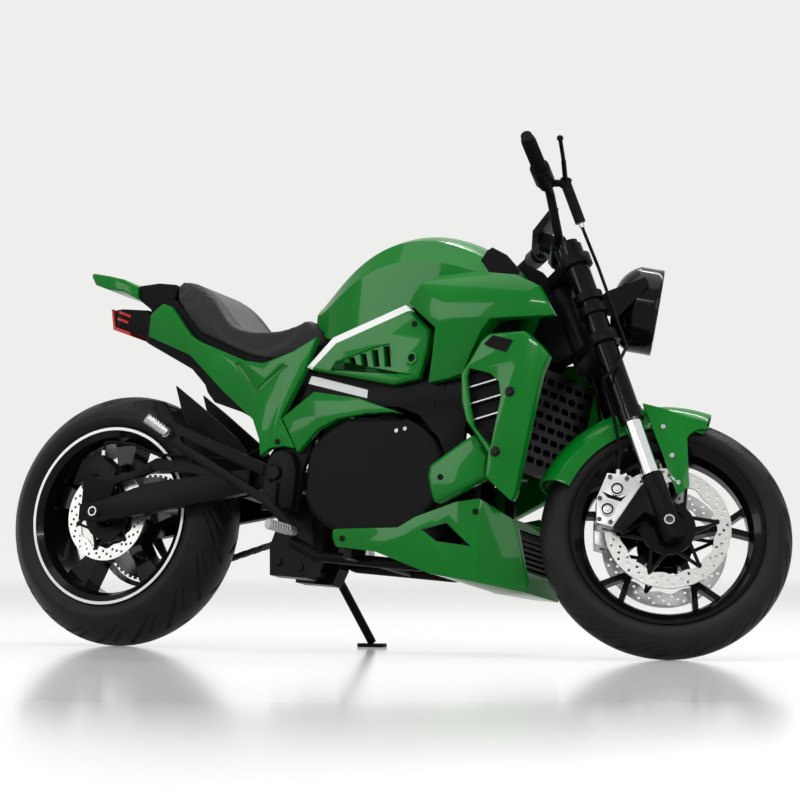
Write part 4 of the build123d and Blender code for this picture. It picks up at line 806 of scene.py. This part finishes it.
# a spot on a sprocket's circle, or ahead of it along the straight run, and the way the chain goes there
def chainSpot(x, z, reach, angle, ahead=0.0):
    heading = Vector((math.sin(angle), 0, -math.cos(angle)))
    spot = Vector((x + reach * math.cos(angle), chainSet["side"], z + reach * math.sin(angle)))
    return spot + heading * ahead, heading


def chainLoop():
    (fx, fz), rz = chainSet["front"], rearHub.z
    r0, r1 = chainSet["rearReach"], chainSet["frontReach"]
    run = math.hypot(fx, fz - rz)
    slope, tilt = math.atan2(fz - rz, fx), math.asin((r0 - r1) / run)
    top, low = math.pi / 2 + slope - tilt, 1.5 * math.pi + slope + tilt
    straight = math.sqrt(run ** 2 - (r0 - r1) ** 2)
    arcFront, arcRear = r1 * (2 * math.pi - (low - top)), r0 * (low - top)
    total = 2 * straight + arcFront + arcRear
    count = 2 * round(total / chainSet["pitch"] / 2)
    spots = []
    for n in range(count):
        d = total * n / count
        if d < straight:
            spots.append(chainSpot(0, rz, r0, top, d))
        elif d < straight + arcFront:
            spots.append(chainSpot(fx, fz, r1, top - (d - straight) / r1))
        elif d < 2 * straight + arcFront:
            spots.append(chainSpot(fx, fz, r1, low, d - straight - arcFront))
        else:
            spots.append(chainSpot(0, rz, r0, low - (d - 2 * straight - arcFront) / r0))
    return spots, total / count


linkTree = buildLinkTree()
loopSpots, loopPitch = chainLoop()
halves = []
for first, half in ((0, "inner"), (1, "outer")):
    points = pointMesh("chainPoints", loopSpots[first::2])
    halves.append(runTree("chainRow", points, linkTree, Pitch=loopPitch, Half=chainSet[half],
                          Height=chainSet["height"], Plate=chainSet["plate"], Roller=chainSet["roller"],
                          Finish=mats["chainSteel"]))
linkMesh = joinMeshes("chainLinks", halves)
linkMesh.transform(toBike)
addPiece("chainLinks", linkMesh, "chassis", "chainSteel", ["chain"], smooth=35)
print("chain linked,", len(loopSpots), "links")


# ribs: thin rings on points, for the grips, the pegs and the lamp
ribSides = {"round": 36, "tube": 6}


def buildRibTree():
    tree, given, result = pointTree("ribRow", {"Radius": 0.017, "Tube": 0.0012})
    curves = {"Curve": circleOf(tree, given["Radius"], ribSides["round"]),
              "Profile Curve": circleOf(tree, given["Tube"], ribSides["tube"])}
    ring = addNode(tree, "GeometryNodeCurveToMesh", curves).outputs[0]
    return setOnPoints(tree, given, result, ring, aimedTurn(tree))


ribTree = buildRibTree()


def placeRibs(name, spots, radius, tube, finish, body):
    points = pointMesh(name + "Points", spots, placeOf[body])
    ribs = runTree(name, points, ribTree, Radius=radius, Tube=tube, Finish=mats[finish])
    addPiece(name, ribs, body, None, smooth=60)


def alongRow(start, end, first, last, step):
    run = (Vector(end) - Vector(start)).normalized()
    count = int((last - first) / step) + 1
    return [(Vector(start) + run * (first + n * step), run) for n in range(count)]


bar = {"end": (1.0871, -0.392, 1.1110), "bend": (1.1501, -0.165, 1.0850), "clamp": (1.1847, 0.0, 1.0051)}
gripRibs = {"first": 0.012, "last": 0.116, "step": 0.0052, "radius": 0.0170, "tube": 0.0011}
gripRow = alongRow(bar["end"], bar["bend"], gripRibs["first"], gripRibs["last"], gripRibs["step"])
placeRibs("gripRibs", mirrored(gripRow), gripRibs["radius"], gripRibs["tube"], "gripRubber", "fork")
pegRibs = {"first": 0.012, "tip": 0.004, "step": 0.0085, "tube": 0.0016,
           "rows": [((0.608, -0.1843, 0.276), (0.584, -0.2563, 0.282), 0.012),
                    ((0.214, -0.1843, 0.524), (0.180, -0.2243, 0.552), 0.013)]}
for n, (start, end, radius) in enumerate(pegRibs["rows"]):
    last = (Vector(end) - Vector(start)).length - pegRibs["tip"]
    row = mirrored(alongRow(start, end, pegRibs["first"], last, pegRibs["step"]))
    placeRibs("pegRibs%d" % (n + 1), row, radius, pegRibs["tube"], "castAlloy", "chassis")

# headlamp: seams on the bowl, a thin glass dome, a mirror with a lamp block in it, and a bezel
lampSet = {"centre": (1.440, 0.0, 0.876), "axis": (0.99863, 0.0, -0.05234), "radius": 0.105,
           "seams": (0.018, 0.050), "seamTube": 0.0011, "dome": 0.420, "domeAt": 0.002, "eye": 0.0006,
           "glass": 0.0965, "glassIn": 0.0935, "glassBack": 0.020, "glassWall": 0.003, "mirrorEye": 0.026,
           "mirror": 0.0955, "mirrorAt": 0.024, "mirrorDeep": 0.046, "mirrorWall": 0.0016,
           "core": (0.072, 0.044, 0.0262), "barHalf": 0.086,
           "bar": [(1.396, 0.8745), (1.414, 0.8745), (1.414, 0.8815), (1.396, 0.8815)],
           "bezel": [(-0.010, 0.1052), (0.003, 0.1058), (0.0055, 0.1040), (0.0055, 0.0985), (0.001, 0.0972),
                     (0.0003, 0.1048)],
           "steps": 72, "bezelSteps": 96, "coreSteps": 36, "glassRows": 14, "mirrorRows": 10}
lampAt, lampAim = Vector(lampSet["centre"]), Vector(lampSet["axis"])
lampRow = [(lampAt - lampAim * d, lampAim) for d in lampSet["seams"]]
placeRibs("lampSeams", lampRow, lampSet["radius"], lampSet["seamTube"], "glossBlack", "fork")
print("ribs set")


def evenSteps(first, last, count):
    return [first + (last - first) * n / count for n in range(count + 1)]


def domeAlong(reach):
    return -lampSet["domeAt"] - (lampSet["dome"] - math.sqrt(lampSet["dome"] ** 2 - reach ** 2))


def mirrorAlong(reach):
    return -lampSet["mirrorAt"] - lampSet["mirrorDeep"] * (1 - (reach / lampSet["mirror"]) ** 2)


reaches = evenSteps(lampSet["eye"], lampSet["glass"], lampSet["glassRows"])
glassSection = ([(domeAlong(r), r) for r in reaches]
                + [(-lampSet["glassBack"], lampSet["glass"]), (-lampSet["glassBack"], lampSet["glassIn"])]
                + [(domeAlong(r) - lampSet["glassWall"], r) for r in reversed(reaches)
                   if r < lampSet["glassIn"]])
bowlReaches = evenSteps(lampSet["mirrorEye"], lampSet["mirror"], lampSet["mirrorRows"])
bowlSection = ([(mirrorAlong(r), r) for r in bowlReaches]
               + [(mirrorAlong(r) - lampSet["mirrorWall"], r) for r in reversed(bowlReaches)])
glass = lathe("lampDome", glassSection, lampAt, lampAim, lampSet["steps"], toFork)
addPiece("lampDome", glass, "fork", "lampGlass", ["headlamp_lens"], smooth=40)
bowl = lathe("lampMirror", bowlSection, lampAt, lampAim, lampSet["steps"], toFork)
addPiece("lampMirror", bowl, "fork", "reflector", smooth=40)
back, front, radius = lampSet["core"]
coreEnds = [lampAt - lampAim * back, lampAt - lampAim * front]
block = [cylinder("lampCore", *coreEnds, radius, toFork, lampSet["coreSteps"]),
         prism("lampBar", lampSet["bar"], -lampSet["barHalf"], lampSet["barHalf"], toFork)]
addPiece("lampBlock", block, "fork", "glossBlack", smooth=35)
bezel = lathe("lampBezel", lampSet["bezel"], lampAt, lampAim, lampSet["bezelSteps"], toFork)
addPiece("lampBezel", bezel, "fork", "glossBlack", smooth=40)

# a white line round each side of the rear rim's flange
pinstripe = {"low": 0.2225, "high": 0.2298, "side": 0.0890, "lift": 0.0004, "steps": 144}
lines = [band("line", pinstripe["low"], pinstripe["high"], 0, pinstripe["lift"],
              rearHub + Vector((0, sign * pinstripe["side"], 0)), (0, sign, 0), pinstripe["steps"], toBike)
         for sign in (-1, 1)]
addPiece("rimLines", lines, "rear_wheel", "whitePaint", smooth=30)

# flat dark plates on both sides: inlays on the radiator panels, backs of the vents, fins in front of the tank. The
# vent backs stand for the black parts inside and paint the shade behind the vent openings.
sidePlates = {
    "panelInlays": {"low": 0.2099, "high": 0.2113,
                    "points": [(1.116, 0.730), (1.139, 0.751), (1.194, 0.738), (1.178, 0.709),
                               (1.131, 0.722)]},
    "ventBacksAndShade": {"low": 0.1345, "high": 0.1365,
                  "points": [(0.600, 0.640), (0.612, 0.676), (0.680, 0.742), (0.880, 0.812), (0.925, 0.690),
                             (0.900, 0.640)]},
    "tankFins": {"low": 0.094, "high": 0.103,
                 "points": [(1.020, 0.945), (1.046, 0.986), (1.060, 0.994), (1.099, 0.975), (1.136, 0.938),
                            (1.132, 0.905), (1.080, 0.905)]},
}
for name, spec in sidePlates.items():
    pair = sidePrisms(name, spec["points"], spec["low"], spec["high"], toBike)
    addPiece(name, pair, "chassis", "mouldedBlack")

# painted highlights: bright metal strips along the ridges of the side louvres, where their edges catch the light
louvreHighlights = {"origin": 1.060, "first": 0.5355, "step": 0.042, "slope": 0.267, "width": 0.0032,
               "face": 0.1996, "lift": 0.0009, "spans": [(1.099, 1.172), (1.085, 1.178), (1.080, 1.180)]}
strips = []
for n, span in enumerate(louvreHighlights["spans"]):
    base = louvreHighlights["first"] + n * louvreHighlights["step"]
    ends = [(x, base + louvreHighlights["slope"] * (x - louvreHighlights["origin"])) for x in span]
    loop = ends + [(x, z + louvreHighlights["width"]) for x, z in reversed(ends)]
    low = louvreHighlights["face"]
    strips += sidePrisms("louvreHighlights", loop, low, low + louvreHighlights["lift"], toBike)
addPiece("louvreHighlights", strips, "chassis", "axleSteelPlain")

# black plugs in the vent panels' bosses, painted shade for the dark holes there, and the blank screen of the dash
bossEye = {"x": 0.896, "z": 0.708, "low": 0.1495, "high": 0.1620, "radius": 0.0097}
eyes = [cylinder("eye", *((bossEye["x"], sign * bossEye[end], bossEye["z"]) for end in ("low", "high")),
                 bossEye["radius"], toBike) for sign in (-1, 1)]
addPiece("bossHoleShades", eyes, "chassis", "mouldedBlack")
screen = {"foot": (-0.067, 0.021), "head": (-0.025, 0.099), "inset": 0.008, "half": 0.054, "lift": 0.0010}
footAt, headAt = Vector(screen["foot"]), Vector(screen["head"])
up = (headAt - footAt).normalized()
lift = Vector((-up.y, up.x)) * screen["lift"]
foot, head = footAt + up * screen["inset"], headAt - up * screen["inset"]
outline = [(bar["clamp"][0] + c.x, bar["clamp"][2] + c.y) for c in (foot, head, head + lift, foot + lift)]
face = prism("dashScreen", outline, -screen["half"], screen["half"], toFork)
addPiece("dashScreen", face, "fork", "glossBlack")

# calipers: ringed piston caps, a dark window between them and their bolts, given from the front axle
caliperSet = {"face": 0.102, "pistons": [(-0.130, 0.070), (-0.147, 0.016)], "cap": 0.107,
              "ring": (0.0105, 0.0145), "ringLift": 0.0010, "ringSteps": 32, "nut": 0.0072, "nutLift": 0.0035,
              "nutSides": 6, "windowLow": 0.100, "windowHigh": 0.1028,
              "window": [(-0.166, 0.060), (-0.150, 0.046), (-0.118, 0.040), (-0.106, 0.058), (-0.118, 0.050),
                         (-0.146, 0.054)],
              "bolts": [(-0.150, 0.099), (-0.110, 0.100), (-0.163, -0.010), (-0.136, -0.014),
                        (-0.168, 0.042)]}
boltSpots = [(frontHub.x + x, caliperSet["face"], frontHub.z + z) for x, z in caliperSet["bolts"]]
caliperBolts = {"radius": 0.0056, "height": 0.0040, "finish": "darkSteel", "body": "fork", "slot": "steel",
                "spots": boltSpots}
marks, caps = [], []
for x, z in caliperSet["pistons"]:
    for sign in (-1, 1):
        at = frontHub + Vector((x, sign * caliperSet["cap"], z))
        marks.append(band("capRing", *caliperSet["ring"], 0, caliperSet["ringLift"], at, (0, sign, 0),
                          caliperSet["ringSteps"], toFork))
        tip = at + Vector((0, sign * caliperSet["nutLift"], 0))
        caps.append(cylinder("capNut", at, tip, caliperSet["nut"], toFork, caliperSet["nutSides"]))
window = [(frontHub.x + x, frontHub.z + z) for x, z in caliperSet["window"]]
marks += sidePrisms("padWindow", window, caliperSet["windowLow"], caliperSet["windowHigh"], toFork)
addPiece("caliperMarks", marks, "fork", "mouldedBlack")
addPiece("caliperCaps", caps, "fork", "castAlloy")
placeScrews("caliperBolts", caliperBolts)

# hose fittings and the red stop switch
fittings = {"hose": 0.0062, "port": (1.397, 0.092), "portSpan": (0.4083, 0.422), "rear": (-0.018, -0.108),
            "rearSpan": (0.4763, 0.490), "masterEnd": (1.2341, -0.196, 1.0010), "masterLong": 0.012,
            "leverPivot": (1.1861, -0.220, 1.0900)}
stopSet = {"radius": 0.0055, "height": 0.006, "along": 0.157, "out": 0.0225, "facing": (-0.55, 0, 0.83)}
portX, portY = fittings["port"]
forkFittings = [cylinder("fitting", *((portX, sign * portY, z) for z in fittings["portSpan"]),
                         fittings["hose"], toFork) for sign in (-1, 1)]
masterEnd = Vector(fittings["masterEnd"])
hoseRun = (masterEnd - Vector(fittings["leverPivot"])).normalized() * fittings["masterLong"]
forkFittings.append(cylinder("fitting", masterEnd, masterEnd + hoseRun, fittings["hose"], toFork))
addPiece("hoseFittings", forkFittings, "fork", "castAlloy", smooth=35)
rearFitting = cylinder("rearFitting", *((*fittings["rear"], z) for z in fittings["rearSpan"]),
                       fittings["hose"], toBike)
addPiece("rearFitting", rearFitting, "chassis", "castAlloy", smooth=35)
barRun, facing = (Vector(bar["bend"]) - Vector(bar["end"])).normalized(), Vector(stopSet["facing"])
switchUp = (facing - barRun * barRun.dot(facing)).normalized()
switchAt = Vector(bar["end"]) + barRun * stopSet["along"] + switchUp * stopSet["out"]
stop = cylinder("stopSwitch", switchAt, switchAt + switchUp * stopSet["height"], stopSet["radius"], toFork)
addPiece("stopSwitch", stop, "fork", "redPaint", smooth=35)
print("small parts set")


# seat: the plain cushion, evened, puffed up a little and held back where it would bulge too far
seatSet = {"voxel": 0.006, "soften": 7, "softenBy": 0.5, "pressure": 4.0, "frames": 20, "cap": 0.004,
           "fill": 0.6, "padHalf": 0.092, "padBack": 0.135, "padFront": 0.400, "padEdge": 0.02,
           "groove": 0.0018, "grooveWide": 0.004, "baseFacing": -0.25, "topFacing": 0.15}
stitchSet = {"pitch": 0.0072, "thread": 0.0007, "long": 0.0050, "offset": 0.0055, "sides": 6, "castFrom": 1.3,
             "longest": 0.02}
bikeBack = toBike.inverted()


def evenSkin(node):
    holder = hold("cushionBase", nodes[node].data.copy())
    remesh = holder.modifiers.new("evenSkin", "REMESH")
    remesh.mode, remesh.voxel_size = "VOXEL", seatSet["voxel"]
    soften = holder.modifiers.new("soften", "SMOOTH")
    soften.factor, soften.iterations = seatSet["softenBy"], seatSet["soften"]
    return evaluatedMesh(holder)


def puffUp(mesh):
    rest = [v.co.copy() for v in mesh.vertices]
    turn = bikeBack.to_3x3()
    held = [v.index for v in mesh.vertices if (turn @ v.normal).z < seatSet["baseFacing"]]
    holder = hold("cushionCloth", mesh)
    pins = holder.vertex_groups.new(name="base")
    pins.add(held, 1.0, "REPLACE")
    cloth = holder.modifiers.new("cushion", "CLOTH")
    cloth.settings.use_pressure = True
    cloth.settings.uniform_pressure_force = seatSet["pressure"]
    cloth.settings.effector_weights.gravity = 0.0
    cloth.settings.vertex_group_mass = "base"
    cloth.point_cache.frame_start, cloth.point_cache.frame_end = 1, seatSet["frames"]
    for n in range(1, seatSet["frames"] + 1):
        scene.frame_set(n)
    mesh = evaluatedMesh(holder)
    scene.frame_set(1)
    for v, start in zip(mesh.vertices, rest):
        move = v.co - start
        if move.length > seatSet["cap"]:
            v.co = start + move * (seatSet["cap"] / move.length)
    return mesh


# how far a place lies inside the pad's outline
def insidePad(place):
    return min(seatSet["padHalf"] - abs(place.y), place.x - seatSet["padBack"], seatSet["padFront"] - place.x)


def buildSeat():
    mesh = evenSkin("seat")
    mesh = puffUp(mesh)
    holder = hold("cushionFine", mesh)
    holder.modifiers.new("finer", "SUBSURF").levels = 1
    mesh = evaluatedMesh(holder)
    turn = bikeBack.to_3x3()
    normals = [v.normal.copy() for v in mesh.vertices]
    # the pad's painted highlight: its upward-facing skin gets a share that paints it lighter, fading in over
    # padEdge inside the pad's outline
    share = mesh.attributes.new("padHighlightShare", "FLOAT", "POINT")
    for v, normal, item in zip(mesh.vertices, normals, share.data):
        if (turn @ normal).z < seatSet["topFacing"]:
            continue
        inside = insidePad(bikeBack @ v.co)
        item.value = min(1.0, max(0.0, inside / seatSet["padEdge"]))
        near = 1 - abs(inside) / seatSet["grooveWide"]
        if near > 0:
            v.co = v.co - normal * seatSet["groove"] * near
    mesh.shade_smooth()
    cushion = addPiece("seatCushion", mesh, "chassis", "seatLeather", ["seat"])
    return mesh


# stitches: short rods along both sides of the pad's seam
def buildStitchTree():
    tree, given, result = pointTree("stitchRow", {"Thread": 0.0007, "Long": 0.005})
    stitch = tubeOf(tree, given["Thread"], given["Long"], stitchSet["sides"])["Mesh"]
    return setOnPoints(tree, given, result, stitch, aimedTurn(tree))


def seamSpots(mesh):
    skin = BVHTree.FromPolygons([bikeBack @ v.co for v in mesh.vertices], [p.vertices for p in mesh.polygons])
    spots = []
    count = int((seatSet["padFront"] - seatSet["padBack"]) / stitchSet["pitch"])
    for y in (seatSet["padHalf"] + stitchSet["offset"], seatSet["padHalf"] - stitchSet["offset"]):
        for sign in (-1, 1):
            starts = [Vector((seatSet["padBack"] + n * stitchSet["pitch"], sign * y, stitchSet["castFrom"]))
                      for n in range(count + 1)]
            hits = [skin.ray_cast(start, Vector((0, 0, -1)))[0] for start in starts]
            for first, second in zip(hits, hits[1:]):
                if first and second and (second - first).length < stitchSet["longest"]:
                    spots.append(((first + second) / 2, (second - first).normalized()))
    return spots


seatMesh = buildSeat()
stitches = runTree("seatStitches", pointMesh("stitchPoints", seamSpots(seatMesh), toBike), buildStitchTree(),
                   Thread=stitchSet["thread"], Long=stitchSet["long"], Finish=mats["seatThread"])
addPiece("seatStitches", stitches, "chassis", None)
print("seat padded and stitched")

# tyres: the solid's own section, with swept grooves cut into the tread
tyres = {
    "front": {"radius": 0.300, "width": 0.120, "crown": 0.062, "rimHalf": 0.052, "pairs": 20, "depth": 0.0050,
              "wide": 0.0034, "sweep": 0.42, "round": 720, "across": 52},
    "rear": {"radius": 0.324, "width": 0.200, "crown": 0.110, "rimHalf": 0.089, "pairs": 18, "depth": 0.0055,
             "wide": 0.0040, "sweep": 0.46, "round": 720, "across": 64},
}
wallSet = {"beadIn": 0.0073, "flange": 0.231, "tread": 0.45, "bulge": 0.545, "steps": 8, "lip": 0.002,
           "step": 0.004, "seat": 0.2163, "toe": 0.012, "inside": 0.250, "smooth": 50}
# groove rows: place in the pair, outer end, bend and inner end, the ends as shares of the tread's half width
grooveSet = {"rows": ((0.0, 0.93, 1.0, 0.10), (0.5, 0.82, 0.75, 0.34)), "edge": 0.97, "stagger": 0.25,
             "curve": 1.6, "stretch": 0.55, "rise": 0.08, "fall": 0.10, "narrowest": 0.25, "steep": 2.2}


# corners of (across, radius, share of the tread's half width)
def tyreSection(spec):
    bead, flange, seat = spec["rimHalf"] - wallSet["beadIn"], wallSet["flange"], wallSet["seat"]
    tread, bulge = wallSet["tread"] * spec["width"], wallSet["bulge"] * spec["width"]
    crownCentre = spec["radius"] - spec["crown"]
    edge = crownCentre + math.sqrt(spec["crown"] ** 2 - tread ** 2)
    points, wall = [], []
    for n in range(spec["across"] + 1):
        y = -tread + 2 * tread * n / spec["across"]
        points.append((y, crownCentre + math.sqrt(spec["crown"] ** 2 - y ** 2), y / tread))
    for n in range(1, wallSet["steps"] + 1):
        t = n / wallSet["steps"]
        y = (1 - t) ** 2 * tread + 2 * t * (1 - t) * bulge + t * t * (bead + wallSet["lip"])
        wall.append((y, edge + (flange - edge) * t, 2.0))
    toe = bead - wallSet["toe"]
    wall += [(bead, flange - wallSet["step"], 2.0), (bead, seat, 2.0), (toe, seat, 2.0),
             (toe, wallSet["inside"], 2.0)]
    return [(-y, r, -s) for y, r, s in reversed(wall)] + points + wall


def grooveDepth(spec, angle, share):
    s = abs(share)
    if s > grooveSet["edge"]:
        return 0.0
    step = 2 * math.pi / spec["pairs"]
    stagger = grooveSet["stagger"] if share > 0 else 0.0
    deepest = 0.0
    for start, reach, bend, first in grooveSet["rows"]:
        if s < first or s > reach:
            continue
        centre = (start + stagger) * step + spec["sweep"] * bend * (s ** grooveSet["curve"])
        gap = (angle - centre + step / 2) % step - step / 2
        distance = abs(gap) * spec["radius"] * grooveSet["stretch"]
        ends = min((s - first) / grooveSet["rise"], (reach - s) / grooveSet["fall"], 1.0)
        width = spec["wide"] * max(grooveSet["narrowest"], ends)
        if distance < width:
            cut = min(1.0, grooveSet["steep"] * (1 - distance / width))
            deepest = max(deepest, spec["depth"] * ends * cut)
    return deepest


def buildTyre(key, hub, body):
    spec = tyres[key]
    section = tyreSection(spec)
    verts = []
    for n in range(spec["round"]):
        angle = 2 * math.pi * n / spec["round"]
        for y, r, share in section:
            reach = r - grooveDepth(spec, angle, share)
            verts.append((hub.x + reach * math.cos(angle), y, hub.z + reach * math.sin(angle)))
    mesh = makeMesh(key + "Tread", verts, ringFaces(spec["round"], len(section)), placeOf[body])
    addPiece(key + "Tread", mesh, body, "tyreRubber", [key + "_tyre"], wallSet["smooth"])


buildTyre("front", frontHub, "front_wheel")
buildTyre("rear", rearHub, "rear_wheel")
print("tyres grooved")

# studio: a wide pale floor that runs out into a white surround
studio = {"floorTone": (0.55, 0.55, 0.543), "surround": (1.0, 1.0, 0.985), "white": 0.855, "fill": 0.30,
          "radius": 45.0, "sides": 96, "nearGlow": 0.17, "farGlow": 0.64, "near": 2.2, "far": 8.0,
          "polish": 0.12}


# the rays that show the surround itself: what the camera sees, and what gloss and glass show of it
def seenRays(tree):
    path = addNode(tree, "ShaderNodeLightPath").outputs
    direct = calc(tree, "ADD", path["Is Camera Ray"], path["Is Glossy Ray"])
    return calc(tree, "ADD", direct, path["Is Transmission Ray"], use_clamp=True)


def buildFloor():
    angles = [2 * math.pi * n / studio["sides"] for n in range(studio["sides"])]
    mesh = bpy.data.meshes.new("studioFloor")
    edge = [(studio["radius"] * math.cos(a), studio["radius"] * math.sin(a), 0.0) for a in angles]
    mesh.from_pydata(edge, [], [tuple(range(studio["sides"]))])
    mat, tree, skin = newMaterial("floorWhite")
    reach = addNode(tree, "ShaderNodeVectorMath", {0: objectPlace(tree)}, operation="LENGTH").outputs["Value"]
    glow = mapRange(tree, reach, studio["nearGlow"], studio["farGlow"], studio["near"], studio["far"])
    rough = mapRange(tree, reach, studio["polish"], 1.0, studio["near"], studio["far"])
    feed(tree, skin, {"Base Color": (*studio["floorTone"], 1), "Emission Color": (*studio["surround"], 1),
                      "Emission Strength": calc(tree, "MULTIPLY", seenRays(tree), glow), "Roughness": rough})
    mesh.materials.append(mat)
    hold("studioFloor", mesh)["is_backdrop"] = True


buildFloor()

lamps = {
    "overhead": {"at": (0.3, -0.4, 4.0), "to": (0.0, 0.0, 0.5), "size": (4.4, 3.0), "power": 105},
    "keySide": {"at": (-3.4, -5.0, 2.8), "to": (0.0, 0.0, 0.6), "size": (2.2, 2.2), "power": 80},
    "fillSide": {"at": (5.4, -2.6, 2.2), "to": (0.4, 0.0, 0.6), "size": (2.6, 2.6), "power": 75},
    "stripTop": {"at": (0.6, 1.5, 3.0), "to": (0.1, 0.0, 0.9), "size": (3.2, 0.16), "power": 60},
    "stripSide": {"at": (1.5, -4.6, 3.1), "to": (0.1, 0.0, 0.7), "size": (3.4, 0.12), "power": 60},
}
for name, spec in lamps.items():
    light = bpy.data.lights.new(name, "AREA")
    light.shape, light.energy = "RECTANGLE", spec["power"]
    light.size, light.size_y = spec["size"]
    lamp = hold(name, light)
    lamp.location = spec["at"]
    lamp.rotation_euler = (Vector(spec["to"]) - Vector(spec["at"])).to_track_quat("-Z", "Y").to_euler()

world = bpy.data.worlds.new("studioWorld")
world.use_nodes = True
scene.world = world
sky = world.node_tree.nodes["Background"].inputs
strength = mapRange(world.node_tree, seenRays(world.node_tree), studio["fill"], studio["white"])
feed(world.node_tree, sky, {"Color": (*studio["surround"], 1), "Strength": strength})
scene.view_settings.view_transform = "Standard"

# the camera is given from the rear axle
cameraSet = {"place": (5.059, -7.633, 0.069), "yaw": 29.11, "pitch": 1.53, "lens": 158.8, "sensor": 36.0,
             "far": 200.0}
camera = bpy.data.cameras.new("photoCamera")
camera.lens, camera.sensor_width, camera.clip_end = cameraSet["lens"], cameraSet["sensor"], cameraSet["far"]
viewer = hold("photoCamera", camera)
viewer.location = Vector(joints["rear_wheel_spin"]["pos_m"]) + Vector(cameraSet["place"])
viewer.rotation_euler = (math.radians(90 + cameraSet["pitch"]), 0, math.radians(cameraSet["yaw"]))
scene.camera = viewer
print("stage and camera set")

low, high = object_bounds()
